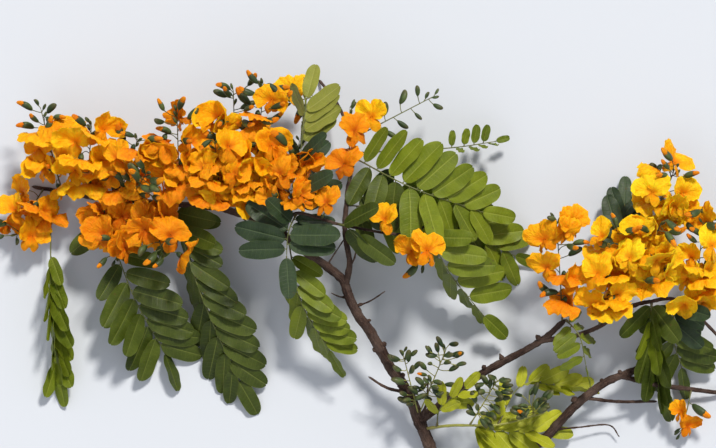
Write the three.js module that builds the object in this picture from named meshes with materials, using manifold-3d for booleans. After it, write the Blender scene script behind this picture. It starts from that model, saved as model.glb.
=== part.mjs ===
// A cut flowering branch of a platypodium tree, lying flat: brown boughs, leaves of oblong leaflets set
// along a rib, and sprays of orange pea flowers with dark green buds.
// Millimetres, +Z up. The branch lies on the plane z = 0 and spreads along X and Y.
import * as THREE from "three";
import { LoftGeometry } from "three/addons/geometries/LoftGeometry.js";
import { mergeVertices } from "three/addons/utils/BufferGeometryUtils.js";
import Module from "manifold-3d";

const wasm = await Module();
wasm.setup();

// Places are given as [x, y] on a sheet with y downwards, one unit of it being this long, and a height.
const SHEET_UNIT = 0.8;
const SHEET_MIDDLE = [366, 305.5];
const GAP = 0.3;

const LEAF_RIB = { thick: 0.8, thin: 0.45, steps: 6, bare: 0.22 };
const LEAFLET = { length: 37, width: 15, thick: 1.0, root: 0.4, roll: 13, tries: [0, 10, -10, 20, -20, 34] };
const SPRAY_STALK = { thick: 0.95, thin: 0.6, steps: 4, bare: 0.3 };
const BLOOM = { standard: 12.5, rise: 13.5, wing: 12, cup: 2.3, petal: 0.9, base: 7.5, pedicel: 0.5, foot: 0.28,
  tries: [0, 7, -7, 14, 21, 28, 35] };
const BUD = { length: 10, radius: 2.4, pedicel: 0.45, foot: 0.28, tries: [0, 4, -4, 8, -8] };

const FINISH = {
  bark: { color: 0x5b463b, roughness: 0.9 },
  green_twig: { color: 0x7d8a45, roughness: 0.7 },
  leaf_deep: { color: 0x3f5f28, roughness: 0.5 },
  leaf_fresh: { color: 0x6c8f35, roughness: 0.5 },
  leaf_young: { color: 0xb4bf3a, roughness: 0.5 },
  leaf_sage: { color: 0x93a56b, roughness: 0.6 },
  leaf_blue: { color: 0x3c5f55, roughness: 0.45 },
  petal: { color: 0xf39a1e, roughness: 0.6 },
  bud: { color: 0x3d5526, roughness: 0.5 },
};

// A limb starts on the limb named by "on" and runs through the other points to its tip.
const LIMBS = [
  { name: "main_stem", path: [[458, 541, 5.12], [431, 448, 12], [402, 386, 28], [358, 313, 50], [343, 278, 57]],
    radii: [5.2, 3.6], sides: 9 },
  { name: "left_bough", on: "main_stem", from: [343, 278], path: [[312, 256, 61], [271, 226, 57], [222, 208, 47]],
    radii: [3.5, 2.8], sides: 8 },
  { name: "left_bough_end", on: "left_bough", from: [222, 208], path: [[165, 203, 34], [98, 198, 18], [28, 186, 1.42]],
    radii: [2.7, 1.5], sides: 7 },
  { name: "upper_bough", on: "main_stem", from: [347, 284], path: [[350, 262, 68], [345, 230, 71], [348, 188, 68]],
    radii: [2.6, 1.8], sides: 7 },
  { name: "upper_bough_end", on: "upper_bough", from: [348, 188], path: [[354, 150, 56], [340, 108, 30], [318, 78, 0.74]],
    radii: [1.7, 1.2], sides: 6 },
  { name: "centre_twig", on: "left_bough", from: [283, 235], path: [[297, 213, 74], [347, 226, 85], [408, 234, 70],
    [438, 214, 62]], radii: [1.5, 0.9], sides: 5 },
  { name: "right_bough", on: "main_stem", from: [424, 420], path: [[456, 395, 24], [484, 373, 32], [540, 342, 46],
    [566, 319, 50]], radii: [3.8, 2.2], sides: 8 },
  { name: "right_twig", on: "right_bough", from: [543, 342], path: [[581, 334, 50], [621, 309, 42], [645, 250, 30],
    [668, 190, 14]], radii: [2.1, 1.3], sides: 6 },
  { name: "right_edge_twig", on: "right_twig", from: [621, 309], path: [[650, 302, 44], [682, 302, 42], [724, 341, 34]],
    radii: [1.7, 1.3], sides: 6 },
  { name: "lower_bough", on: "main_stem", from: [453, 520], path: [[537, 448, 14], [595, 391, 27], [662, 361, 17]],
    radii: [4.6, 2.6], sides: 8 },
  { name: "lower_bough_fork", on: "lower_bough", from: [623, 379], path: [[654, 385, 20], [697, 391, 13], [733, 396, 1.37]],
    radii: [2.1, 1.7], sides: 6 },
  { name: "lower_twig", on: "lower_bough", from: [587, 400], path: [[620, 403, 20], [660, 403, 8]],
    radii: [1.6, 1.1], sides: 5 },
  { name: "young_shoot", on: "main_stem", from: [425, 430], path: [[452, 426, 34], [500, 425, 36], [545, 414, 30]],
    radii: [1.3, 0.7], sides: 5, finish: "green_twig" },
  { name: "broken_stub", on: "main_stem", from: [404, 394], path: [[386, 388, 36], [368, 377, 40]],
    radii: [1.5, 0.9], sides: 5 },
];

// A leaf's rib runs from its limb through "by" to "to". Left and right, as seen from the limb, say how far
// each row of leaflets tips up out of the sheet, in degrees, and spread how far they turn from the rib,
// which closes towards its end.
const LEAVES = [
  { name: "leaf_far_left", on: "left_bough_end", from: [48, 189], by: [49, 290, 20], to: [55, 374, 7],
    count: 15, left: 46, right: 60, spread: 30, size: 1.02, bare: 0.3, finish: "leaf_fresh" },
  { name: "leaf_left", on: "left_bough_end", from: [97, 198], by: [130, 291, 28], to: [163, 354, 9],
    count: 14, left: 8, right: 16, spread: 50, size: 1.2, bare: 0.26, finish: "leaf_deep" },
  { name: "leaf_mid_left", on: "left_bough_end", from: [172, 204], by: [199, 291, 34], to: [237, 382, 10],
    count: 17, left: 10, right: -72, spread: 42, size: 1.16, finish: "leaf_deep" },
  { name: "leaf_centre", on: "left_bough", from: [286, 240], by: [301, 301, 62], to: [329, 350, 42],
    count: 16, left: 12, right: -70, spread: 48, size: 1.0, bare: 0.12, finish: "leaf_fresh" },
  { name: "leaf_dark", on: "centre_twig", from: [297, 214], by: [289, 232, 84], to: [287, 256, 83],
    count: 9, left: 8, right: 8, spread: 108, size: 1.17, bare: 0.12, finish: "leaf_blue" },
  { name: "leaf_twig", on: "centre_twig", from: [338, 224], by: [347, 227, 91], to: [356, 235, 92],
    count: 3, left: 6, right: -60, spread: 34, size: 1.16, bare: 0.1, finish: "leaf_deep" },
  { name: "leaf_right", on: "upper_bough_end", from: [353, 158], by: [412, 188, 80], to: [482, 212, 48],
    count: 17, left: 8, right: 6, spread: 86, closing: 0.75, size: 1.22, bare: 0.06, finish: "leaf_fresh" },
  { name: "leaf_right_low", on: "upper_bough", from: [348, 205], by: [434, 218, 46], to: [516, 256, 10],
    count: 15, left: 10, right: -28, spread: 40, size: 1.15, finish: "leaf_fresh" },
  { name: "leaf_below_twig", on: "centre_twig", from: [427, 222], by: [446, 268, 60], to: [484, 316, 32],
    count: 11, left: 8, right: -82, spread: 66, size: 1.12, bare: 0.12, finish: "leaf_fresh" },
  { name: "leaf_thin", on: "upper_bough_end", from: [353, 153], by: [446, 148, 34], to: [496, 141, 20],
    count: 9, left: 15, right: 74, spread: 72, size: 0.47, bare: 0.52, finish: "leaf_fresh" },
  { name: "leaf_sage", on: "centre_twig", from: [303, 213], by: [301, 160, 92], to: [307, 100, 86],
    count: 10, left: -78, right: 12, spread: 54, size: 1.0, bare: 0.6, finish: "leaf_sage" },
  { name: "leaf_pale", on: "right_bough", from: [566, 320], by: [579, 336, 60], to: [586, 366, 52],
    count: 9, left: -76, right: 8, spread: 82, size: 0.7, bare: 0.05, finish: "leaf_fresh" },
  { name: "leaf_behind", on: "right_twig", from: [622, 306], by: [619, 250, 24], to: [627, 206, 12],
    count: 9, left: 24, right: 20, spread: 30, size: 0.92, bare: 0.3, finish: "leaf_sage" },
  { name: "leaf_hanging", on: "right_edge_twig", from: [652, 302], by: [653, 340, 36], to: [663, 388, 18],
    count: 9, left: 66, right: 40, spread: 24, size: 1.2, bare: 0.1, finish: "leaf_fresh" },
  { name: "leaf_right_edge", on: "right_edge_twig", from: [676, 302], by: [674, 335, 28], to: [684, 368, 14],
    count: 10, left: 14, right: 24, spread: 58, size: 1.05, bare: 0.1, finish: "leaf_deep" },
  { name: "leaf_young_upper", on: "young_shoot", from: [498, 425], by: [524, 386, 22], to: [578, 390, 12],
    count: 10, left: 16, right: 70, spread: 28, size: 0.72, bare: 0.4, finish: "leaf_young" },
  { name: "leaf_young_left", on: "young_shoot", from: [437, 427], by: [441, 408, 40], to: [464, 389, 50],
    count: 7, left: 12, right: 18, spread: 40, size: 0.64, bare: 0.25, finish: "leaf_young" },
  { name: "leaf_young_low", on: "young_shoot", from: [474, 428], by: [503, 432, 28], to: [545, 432, 18],
    count: 10, left: 12, right: 14, spread: 36, size: 0.92, bare: 0.05, finish: "leaf_young" },
];

// A spray's stalk leaves its limb and ends at "to". Along it, from its foot to its tip, stand the flowers F
// and buds B of its order, on alternate sides and as far out as "reach"; "bare" is the share with none.
const SPRAYS = [
  { name: "spray_far_left", on: "left_bough_end", from: [40, 188], to: [14, 236, 14], order: "FFF", reach: 13 },
  { name: "spray_left_top", on: "left_bough_end", from: [60, 192], to: [40, 108, 40], order: "FFFBBB", reach: 11 },
  { name: "spray_left_a", on: "left_bough_end", from: [86, 197], to: [92, 124, 58], order: "FFFF", reach: 13 },
  { name: "spray_left_b", on: "left_bough_end", from: [118, 200], to: [138, 140, 62], order: "FFFFB", reach: 13 },
  { name: "spray_left_low", on: "left_bough_end", from: [110, 199], to: [116, 258, 46], order: "FFF", reach: 10 },
  { name: "buds_left", on: "left_bough_end", from: [128, 201], to: [148, 174, 84], order: "BBBBBB", reach: 12 },
  { name: "spray_mid_low", on: "left_bough_end", from: [150, 202], to: [164, 256, 66], order: "FFFB", reach: 11 },
  { name: "spray_mid_a", on: "left_bough_end", from: [180, 204], to: [178, 114, 74], order: "FFFFBB", reach: 12 },
  { name: "spray_mid_b", on: "left_bough", from: [204, 206], to: [216, 142, 88], order: "FFFF", reach: 12, bare: 0.1 },
  { name: "spray_top", on: "left_bough", from: [236, 214], to: [234, 92, 70], order: "FFFFBBFBB", reach: 13 },
  { name: "spray_centre_a", on: "left_bough", from: [252, 219], to: [264, 86, 76], order: "FFFFBBBB", reach: 12 },
  { name: "spray_centre_b", on: "left_bough", from: [280, 231], to: [300, 142, 86], order: "FFFFB", reach: 11 },
  { name: "spray_crown", on: "upper_bough_end", from: [330, 92], to: [292, 102, 40], order: "BBBF", reach: 8 },
  { name: "spray_upper", on: "upper_bough_end", from: [349, 184], to: [350, 108, 60], order: "FF", reach: 5, bare: 0.1 },
  { name: "spray_upper_right", on: "upper_bough_end", from: [352, 139], to: [434, 96, 42], order: "FBBBBBBB", reach: 8 },
  { name: "bloom_hanging_left", on: "centre_twig", from: [322, 217], to: [330, 206, 90], order: "F", reach: 4 },
  { name: "bloom_hanging_mid", on: "centre_twig", from: [384, 232], to: [388, 222, 82], order: "F", reach: 4 },
  { name: "bloom_hanging_right", on: "centre_twig", from: [410, 234], to: [424, 264, 70], order: "BFFB", reach: 7 },
  { name: "spray_right_a", on: "right_bough", from: [562, 322], to: [556, 220, 60], order: "BFFBFF", reach: 12 },
  { name: "spray_right_b", on: "right_twig", from: [598, 324], to: [616, 228, 64], order: "FFFFB", reach: 11, bare: 0.15 },
  { name: "spray_right_c", on: "right_twig", from: [626, 298], to: [660, 222, 72], order: "FFFFFB", reach: 14, bare: 0.15 },
  { name: "spray_right_top", on: "right_twig", from: [655, 222], to: [674, 170, 54], order: "FFFFBB", reach: 14, bare: 0.15 },
  { name: "spray_right_edge", on: "right_edge_twig", from: [692, 312], to: [704, 212, 58], order: "FFFFBB", reach: 9 },
  { name: "spray_right_low", on: "lower_bough_fork", from: [694, 391], to: [684, 434, 9], order: "BFF", reach: 6 },
  { name: "buds_low", on: "main_stem", from: [423, 420], to: [403, 354, 46], order: "BBBBB", reach: 8 },
  { name: "buds_low_right", on: "main_stem", from: [421, 416], to: [446, 350, 48], order: "BBBBBBBB", reach: 13 },
  { name: "buds_shoot", on: "young_shoot", from: [470, 427], to: [496, 382, 50], order: "BBBBBBBB", reach: 10 },
  { name: "buds_shoot_end", on: "young_shoot", from: [536, 418], to: [532, 408, 36], order: "BBBBBB", reach: 12 },
];

const UP = new THREE.Vector3(0, 0, 1);
const SHEET_TOP = new THREE.Vector3(0, 1, 0);
const radians = THREE.MathUtils.degToRad;

// The point of space over a point of the sheet.
function place([x, y, height]) {
  return new THREE.Vector3((x - SHEET_MIDDLE[0]) * SHEET_UNIT, (SHEET_MIDDLE[1] - y) * SHEET_UNIT, height);
}

// Random numbers from 0 to 1 that are the same on every run.
function seeded(seed) {
  let state = seed >>> 0;
  return () => {
    state = (state + 0x6d2b79f5) >>> 0;
    let mixed = Math.imul(state ^ (state >>> 15), state | 1);
    mixed ^= mixed + Math.imul(mixed ^ (mixed >>> 7), mixed | 61);
    return ((mixed ^ (mixed >>> 14)) >>> 0) / 4294967296;
  };
}

function smooth(points) {
  return new THREE.CatmullRomCurve3(points, false, "catmullrom", 0.5);
}

// The point of a limb's centre line that is nearest to a point of the sheet.
function nearest(curve, spot) {
  const target = place([...spot, 0]);
  const along = curve.getPoints(240);
  const away = (point) => Math.hypot(point.x - target.x, point.y - target.y);
  return along.reduce((best, point) => (away(point) < away(best) ? point : best));
}

// A closed solid from a geometry.
function solidOf(geometry) {
  const bare = new THREE.BufferGeometry();
  bare.setAttribute("position", geometry.getAttribute("position"));
  bare.setIndex(geometry.getIndex());
  const merged = mergeVertices(bare, 1e-4);
  return new wasm.Manifold(new wasm.Mesh({
    numProp: 3,
    vertProperties: new Float32Array(merged.getAttribute("position").array),
    triVerts: new Uint32Array(merged.getIndex().array),
  }));
}

// Two directions at right angles to an axis, with which it makes a right-handed frame.
function crossways(axis) {
  const helper = Math.abs(axis.z) > 0.95 ? new THREE.Vector3(1, 0, 0) : UP;
  const side = new THREE.Vector3().crossVectors(helper, axis).normalize();
  return [side, new THREE.Vector3().crossVectors(axis, side)];
}

function ring(centre, axis, radius, sides) {
  const [side, top] = crossways(axis);
  return Array.from({ length: sides }, (_, i) => {
    const turn = (2 * Math.PI * i) / sides;
    return centre.clone()
      .addScaledVector(side, radius * Math.cos(turn))
      .addScaledVector(top, radius * Math.sin(turn));
  });
}

// A round rod through some points, as thick at each as its radius says.
function rod(points, radii, sides) {
  const last = points.length - 1;
  const sections = points.map((point, i) => {
    const axis = points[Math.min(i + 1, last)].clone().sub(points[Math.max(i - 1, 0)]).normalize();
    return ring(point, axis, radii[i], sides);
  });
  return solidOf(new LoftGeometry(sections, { capStart: true, capEnd: true }));
}

// A tapering rod along a curve, thicker and longer all round by an extra amount.
function taper(curve, radii, sides, steps, extra = 0) {
  const points = curve.getPoints(steps);
  points[0].addScaledVector(curve.getTangent(0), -extra);
  points[steps].addScaledVector(curve.getTangent(1), extra);
  return rod(points, points.map((_, i) => extra + THREE.MathUtils.lerp(radii[0], radii[1], i / steps)), sides);
}

// The point at a share t of a tapering rod's centre line, which is straight from each step to the next.
function pointOn(curve, steps, t) {
  const step = Math.min(Math.floor(t * steps), steps - 1);
  return curve.getPoint(step / steps).lerp(curve.getPoint((step + 1) / steps), t * steps - step);
}

// A thin closed blade in its own plane, fullest in the middle: an outline that starts at its root, the
// middle point, its thickness there, and the thickness of its root.
function blade(outline, middle, thick, root, toSpace) {
  const [start, ...rim] = outline;
  const raise = ([x, y, z], by) => toSpace(x, y, z + by);
  const points = [
    raise(start, root / 2), raise(start, -root / 2),
    raise(middle, thick / 2), raise(middle, -thick / 2),
    ...rim.map((point) => raise(point, 0)),
  ];
  const [rootTop, rootUnder, middleTop, middleUnder, first] = [0, 1, 2, 3, 4];
  const last = points.length - 1;
  const faces = [rootTop, first, middleTop, last, rootTop, middleTop];
  faces.push(rootUnder, middleUnder, first, last, middleUnder, rootUnder);
  faces.push(rootTop, rootUnder, first, rootUnder, rootTop, last);
  for (let i = first; i < last; i++) faces.push(i, i + 1, middleTop, i + 1, i, middleUnder);
  return closed(points, faces);
}

// The solid whose skin is these faces, each three numbers of points.
function closed(points, faces) {
  const geometry = new THREE.BufferGeometry();
  geometry.setAttribute("position", new THREE.Float32BufferAttribute(points.flatMap((p) => p.toArray()), 3));
  geometry.setIndex(faces);
  return solidOf(geometry);
}

// A function that takes a point's x, y and z along three directions from an origin to space.
function frameAt(origin, x, y, z) {
  return (a, b, c) => origin.clone().addScaledVector(x, a).addScaledVector(y, b).addScaledVector(z, c);
}

function joined(solids) {
  return wasm.Manifold.union(solids);
}

// The largest body of a solid that may be in several.
function largest(solid) {
  return solid.decompose().reduce((best, body) => (body.volume() > best.volume() ? body : best));
}

// What is left of a solid when it is cut clear of some limbs.
function clearOf(limbs, solid) {
  return largest(limbs.reduce((left, limb) => left.subtract(limb.wider), solid));
}

// Where each limb runs, and its solid, cut clear of the limbs before it.
function growLimbs() {
  const limbs = new Map();
  for (const row of LIMBS) {
    const start = row.on ? [nearest(limbs.get(row.on).curve, row.from)] : [];
    const curve = smooth([...start, ...row.path.map(place)]);
    const make = (extra) => taper(curve, row.radii, row.sides, 2 * row.path.length + 1, extra);
    const solid = clearOf([...limbs.values()], make(0));
    limbs.set(row.name, { curve, solid, wider: make(1.2 * GAP), finish: row.finish ?? "bark" });
  }
  return limbs;
}

// A leaflet: oblong, with a blunt tip, rolled about its length so that the next one slips under it.
function leaflet(origin, along, across, size) {
  const length = LEAFLET.length * size;
  const half = (LEAFLET.width * size) / 2;
  const roll = radians(LEAFLET.roll);
  const normal = new THREE.Vector3().crossVectors(across, along);
  const sideways = across.clone().multiplyScalar(Math.cos(roll)).addScaledVector(normal, Math.sin(roll));
  const upward = new THREE.Vector3().crossVectors(sideways, along);
  const edge = [[0.8, 0.2], [1, 0.56], [0.68, 0.92]].map(([x, y]) => [x * half, y * length, 0]);
  const outline = [[0, 0, 0], ...edge, [0, length, 0], ...mirrored(edge)];
  const space = frameAt(origin, sideways, along, upward);
  return blade(outline, [0, length * 0.5, 0], LEAFLET.thick, LEAFLET.root, space);
}

// The same edge on the other side, run back the other way.
function mirrored(edge) {
  return edge.toReversed().map(([x, y, z]) => [-x, y, z]);
}

// For each leaflet of a leaf, the ways that it could lie, as solids to try in turn.
function leafletsOf(row, curve, random) {
  const bare = row.bare ?? LEAF_RIB.bare;
  return Array.from({ length: row.count }, (_, i) => {
    const share = (i + 0.5) / row.count;
    const isLast = i === row.count - 1;
    const side = i % 2 ? -1 : 1;
    const t = isLast ? 0.995 : bare + (1 - bare) * share;
    const along = curve.getTangent(t);
    const across = new THREE.Vector3().crossVectors(UP, along).normalize().multiplyScalar(side);
    const wander = [random(), random(), random()].map((value) => 2 * value - 1);
    const spread = radians(isLast ? 8 : row.spread * (1.08 - (row.closing ?? 0.3) * share) + 5 * wander[0]);
    const size = row.size * (0.74 + 0.26 * Math.sin(Math.PI * share)) * (1 + 0.06 * wander[1]);
    const lean = (side > 0 ? row.left : row.right) + 6 * wander[2];
    return LEAFLET.tries.map((more) => () => {
      const tilt = radians(lean + more);
      const out = across.clone().multiplyScalar(Math.cos(tilt)).addScaledVector(UP, Math.sin(tilt));
      const onward = along.clone().multiplyScalar(Math.cos(spread)).addScaledVector(out, Math.sin(spread));
      const sideways = out.multiplyScalar(Math.cos(spread)).addScaledVector(along, -Math.sin(spread));
      return leaflet(pointOn(curve, LEAF_RIB.steps, t), onward, sideways, size);
    });
  });
}

// A flower in one skin: a four-sided stalk and cup, the broad two-lobed petal that rises from the upper
// half of the cup's mouth, and the pair of wing petals that hang forward from its lower half.
function bloom(root, face, forward, top, size) {
  const side = new THREE.Vector3().crossVectors(top, forward);
  const base = face.clone().addScaledVector(forward, -BLOOM.base * size);
  const space = frameAt(base, side, top, forward);
  const toPetal = (wide, high) => ([x, y, z]) => [x * wide * size, y * high * size, z * size];
  const lobe = [[0.75, 0.1, 6.2], [1, 0.66, 3.6], [0.44, 1.05, 3]].map(toPetal(BLOOM.standard, BLOOM.rise));
  const wing = [[0.5, -0.36, 9], [0.46, -0.92, 11.5]].map(toPetal(BLOOM.wing, BLOOM.wing));
  const notch = [0, 0.86 * BLOOM.rise * size, 3.8 * size];
  const cleft = [0, -0.74 * BLOOM.wing * size, 11 * size];
  const points = [
    ...turned(root, base.clone().sub(root).normalize(), side, BLOOM.foot),
    ...turned(base, forward, side, BLOOM.pedicel),
    ...turned(space(0, 0, 4.6 * size), forward, side, BLOOM.cup * size),
  ];
  const [right, upper, left, lower] = [8, 9, 10, 11];
  const faces = [0, 3, 2, 0, 2, 1];
  for (const k of [0, 1, 2, 3, 4, 5, 6, 7]) {
    const next = k % 4 === 3 ? k - 3 : k + 1;
    faces.push(k, next, k + 4, next, next + 4, k + 4);
  }
  const rising = [...lobe, notch, ...mirrored(lobe)];
  const hanging = [...mirrored(wing.toReversed()), cleft, ...wing.toReversed()];
  petal(points, faces, rising, [right, upper, left], [0, 0.45 * BLOOM.rise * size, 6 * size], space);
  petal(points, faces, hanging, [left, lower, right], [0, -0.5 * BLOOM.wing * size, 9.4 * size], space);
  return closed(points, faces);
}

// Four points round a centre, in the plane across an axis, the first one nearest to a given side.
function turned(centre, axis, side, radius) {
  const across = side.clone().addScaledVector(axis, -side.dot(axis)).normalize();
  const over = new THREE.Vector3().crossVectors(axis, across);
  const space = frameAt(centre, across, over, axis);
  return [space(radius, 0, 0), space(0, radius, 0), space(-radius, 0, 0), space(0, -radius, 0)];
}

// Adds a petal to a skin: its rim runs from the first point of its foot to the last, in front of the middle
// point of its foot.
function petal(points, faces, rim, [from, behind, to], middle, space) {
  const [x, y, z] = middle;
  const front = points.push(space(x, y, z + BLOOM.petal / 2)) - 1;
  const back = points.push(space(x, y, z - BLOOM.petal / 2)) - 1;
  const loop = [from, ...rim.map((point) => points.push(space(...point)) - 1), to];
  for (let i = 0; i + 1 < loop.length; i++) {
    faces.push(front, loop[i], loop[i + 1], back, loop[i + 1], loop[i]);
  }
  faces.push(front, to, from, back, from, behind, back, behind, to);
}

function bud(root, base, onward, size) {
  const length = BUD.length * size;
  const belly = base.clone().addScaledVector(onward, length * 0.5);
  const tip = base.clone().addScaledVector(onward, length);
  return rod([root, base, belly, tip], [BUD.foot, BUD.pedicel, BUD.radius * size, 0.5], 4);
}

// For each flower and bud of a spray, the ways that it could stand, as solids to try in turn.
function flowersOf(row, curve, random) {
  const bare = row.bare ?? SPRAY_STALK.bare;
  return Array.from(row.order, (kind, i) => {
    const side = i % 2 ? -1 : 1;
    const t = row.order.length > 1 ? bare + ((1 - bare) * (i + 0.4)) / row.order.length : 0.96;
    const root = pointOn(curve, SPRAY_STALK.steps, t);
    const along = curve.getTangent(t);
    const level = new THREE.Vector3().crossVectors(UP, along).normalize().multiplyScalar(side);
    const wander = [random(), random(), random(), random()].map((value) => 2 * value - 1);
    const out = level.clone().addScaledVector(UP, 0.3 + 0.25 * wander[0]).addScaledVector(along, 0.25).normalize();
    if (kind === "B") {
      const reach = row.reach * (0.65 + 0.25 * wander[2]);
      const onward = out.clone().addScaledVector(along, 0.5 + 0.4 * wander[3]).normalize();
      return BUD.tries.map((lift) => () => {
        const base = root.clone().addScaledVector(out, reach).addScaledVector(UP, lift);
        return bud(root, base, onward, 0.95 + 0.15 * wander[1]);
      });
    }
    const forward = UP.clone().multiplyScalar(0.85)
      .addScaledVector(level, 0.4)
      .addScaledVector(SHEET_TOP, -0.32 + 0.2 * wander[2])
      .normalize();
    const lean = SHEET_TOP.clone().addScaledVector(level, 0.15 + 0.35 * wander[3]);
    const top = lean.addScaledVector(forward, -lean.dot(forward)).normalize();
    return BLOOM.tries.map((lift) => () => {
      const face = root.clone().addScaledVector(out, row.reach).addScaledVector(UP, lift + BLOOM.base);
      return bloom(root, face, forward, top, 1 + 0.08 * wander[1]);
    });
  });
}

// Whether two solids' boxes come nearer than the gap.
function boxesMeet(a, b) {
  return [0, 1, 2].every((axis) => a.min[axis] < b.max[axis] + GAP && b.min[axis] < a.max[axis] + GAP);
}

// The solids that are in place, each with the name of its node.
const standing = [];

function stand(name, solid) {
  standing.push({ name, solid, box: solid.boundingBox() });
}

// Whether a solid lies above the ground and clear of what stands; a spray's own stalk doesn't count.
function isClear(solid, ownStem) {
  const box = solid.boundingBox();
  if (box.min[2] < 0) return false;
  return standing.every((other) => other.name === ownStem || !boxesMeet(box, other.box)
    || solid.minGap(other.solid, GAP) >= GAP);
}

// Of each list of ways, the first that is clear is built; a piece with none is left off.
function buildMass(name, stem, pieces) {
  const parts = [stem];
  for (const ways of pieces) {
    for (const way of ways) {
      const piece = way();
      if (!isClear(piece, `${name} stem`)) continue;
      stand(name, piece);
      parts.push(piece);
      break;
    }
  }
  return largest(joined(parts));
}

function meshOf(name, solid, finish) {
  const { vertProperties, triVerts } = solid.getMesh();
  const geometry = new THREE.BufferGeometry();
  geometry.setAttribute("position", new THREE.BufferAttribute(new Float32Array(vertProperties), 3));
  geometry.setIndex(new THREE.BufferAttribute(new Uint32Array(triVerts), 1));
  const mesh = new THREE.Mesh(geometry, new THREE.MeshStandardMaterial({ ...FINISH[finish], metalness: 0 }));
  mesh.name = name;
  return mesh;
}

const limbs = growLimbs();
const branch = new THREE.Group();
branch.name = "flowering_branch";

for (const [name, limb] of limbs) {
  stand(name, limb.solid);
  branch.add(meshOf(name, limb.solid, limb.finish));
}

// The stems of all masses come before any flower or leaflet, so that those keep clear of them.
const masses = [...SPRAYS, ...LEAVES].map((row, index) => {
  const start = nearest(limbs.get(row.on).curve, row.from);
  const isLeaf = row.by !== undefined;
  const curve = isLeaf
    ? smooth([start, place(row.by), place(row.to)])
    : smooth([start, start.clone().lerp(place(row.to), 0.4).addScaledVector(UP, 8), place(row.to)]);
  const { thick, thin, steps } = isLeaf ? LEAF_RIB : SPRAY_STALK;
  const stem = clearOf([...limbs.values()], taper(curve, [thick, thin], 3, steps));
  stand(`${row.name} stem`, stem);
  return { row, curve, stem, isLeaf, random: seeded(index + 1) };
});

for (const { row, curve, stem, isLeaf, random } of masses) {
  const pieces = isLeaf ? leafletsOf(row, curve, random) : flowersOf(row, curve, random);
  const solid = buildMass(row.name, stem, pieces);
  branch.add(meshOf(row.name, solid, row.finish ?? (row.order.includes("F") ? "petal" : "bud")));
}

export default branch;
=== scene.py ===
"""A cut flowering branch of a platypodium tree, lying flat under a camera that looks straight down on it.

Lengths are in millimetres. A mesh's points become metres when the mesh is made.
Places are given as [x, y] on a sheet with y downwards, and a height, as the solids' own places are.
"""

import math
from collections import defaultdict, namedtuple
from itertools import product

import bpy
import numpy as np
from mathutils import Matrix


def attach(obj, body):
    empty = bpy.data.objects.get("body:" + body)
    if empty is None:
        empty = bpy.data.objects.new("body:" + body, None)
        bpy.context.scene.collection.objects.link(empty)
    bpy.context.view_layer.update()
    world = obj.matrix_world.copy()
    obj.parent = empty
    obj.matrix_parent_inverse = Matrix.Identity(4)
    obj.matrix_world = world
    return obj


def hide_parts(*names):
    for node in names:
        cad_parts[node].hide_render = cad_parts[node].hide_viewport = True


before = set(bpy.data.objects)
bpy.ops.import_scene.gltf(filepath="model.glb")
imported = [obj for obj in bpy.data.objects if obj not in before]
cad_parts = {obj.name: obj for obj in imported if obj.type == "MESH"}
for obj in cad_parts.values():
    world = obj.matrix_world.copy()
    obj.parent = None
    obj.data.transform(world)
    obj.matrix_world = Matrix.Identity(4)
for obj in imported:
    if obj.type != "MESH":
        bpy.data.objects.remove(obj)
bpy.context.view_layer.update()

# One unit of the sheet in millimetres, and the place on the sheet that lies over the origin.
SHEET_UNIT = 0.8
SHEET_MIDDLE = (366, 305.5)
METRES = 0.001
UP = np.array([0.0, 0.0, 1.0])
SHEET_TOP = np.array([0.0, 1.0, 0.0])

# The lowest that a skin lies. What stands over HIGH is pressed together, into HIGH_SPAN at most.
GROUND_GAP = 0.05
HIGH = 98
HIGH_SPAN = 17

# The first seeds of the random numbers of boughs, of leaves and sprays, of twigs and of soft noise.
BOUGH_SEED = 100
MASS_SEED = 200
TWIG_SEED = 400
NOISE_SEED = 11

# The branch's rows, the same as the solids': where each limb, leaf and spray starts, bends and ends.
Limb = namedtuple("Limb", "name on start path radii")
LIMBS = [
    Limb("main_stem", None, None,
         [(458, 541, 5.12), (431, 448, 12), (402, 386, 28), (358, 313, 50), (343, 278, 57)], (5.2, 3.6)),
    Limb("left_bough", "main_stem", (343, 278),
         [(312, 256, 61), (271, 226, 57), (222, 208, 47)], (3.5, 2.8)),
    Limb("left_bough_end", "left_bough", (222, 208),
         [(165, 203, 34), (98, 198, 18), (28, 186, 1.42)], (2.7, 1.5)),
    Limb("upper_bough", "main_stem", (347, 284),
         [(350, 262, 68), (345, 230, 71), (348, 188, 68)], (2.6, 1.8)),
    Limb("upper_bough_end", "upper_bough", (348, 188),
         [(354, 150, 56), (340, 108, 30), (318, 78, 0.74)], (1.7, 1.2)),
    Limb("centre_twig", "left_bough", (283, 235),
         [(297, 213, 74), (347, 226, 85), (408, 234, 70), (438, 214, 62)], (1.5, 0.9)),
    Limb("right_bough", "main_stem", (424, 420),
         [(456, 395, 24), (484, 373, 32), (540, 342, 46), (566, 319, 50)], (3.8, 2.2)),
    Limb("right_twig", "right_bough", (543, 342),
         [(581, 334, 50), (621, 309, 42), (645, 250, 30), (668, 190, 14)], (2.1, 1.3)),
    Limb("right_edge_twig", "right_twig", (621, 309),
         [(650, 302, 44), (682, 302, 42), (724, 341, 34)], (1.7, 1.3)),
    Limb("lower_bough", "main_stem", (453, 520),
         [(537, 448, 14), (595, 391, 27), (662, 361, 17)], (4.6, 2.6)),
    Limb("lower_bough_fork", "lower_bough", (623, 379),
         [(654, 385, 20), (697, 391, 13), (733, 396, 1.37)], (2.1, 1.7)),
    Limb("lower_twig", "lower_bough", (587, 400),
         [(620, 403, 20), (660, 403, 8)], (1.6, 1.1)),
    Limb("young_shoot", "main_stem", (425, 430),
         [(452, 426, 34), (500, 425, 36), (545, 414, 30)], (1.3, 0.7)),
    Limb("broken_stub", "main_stem", (404, 394),
         [(386, 388, 36), (368, 377, 40)], (1.5, 0.9)),
]

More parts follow.
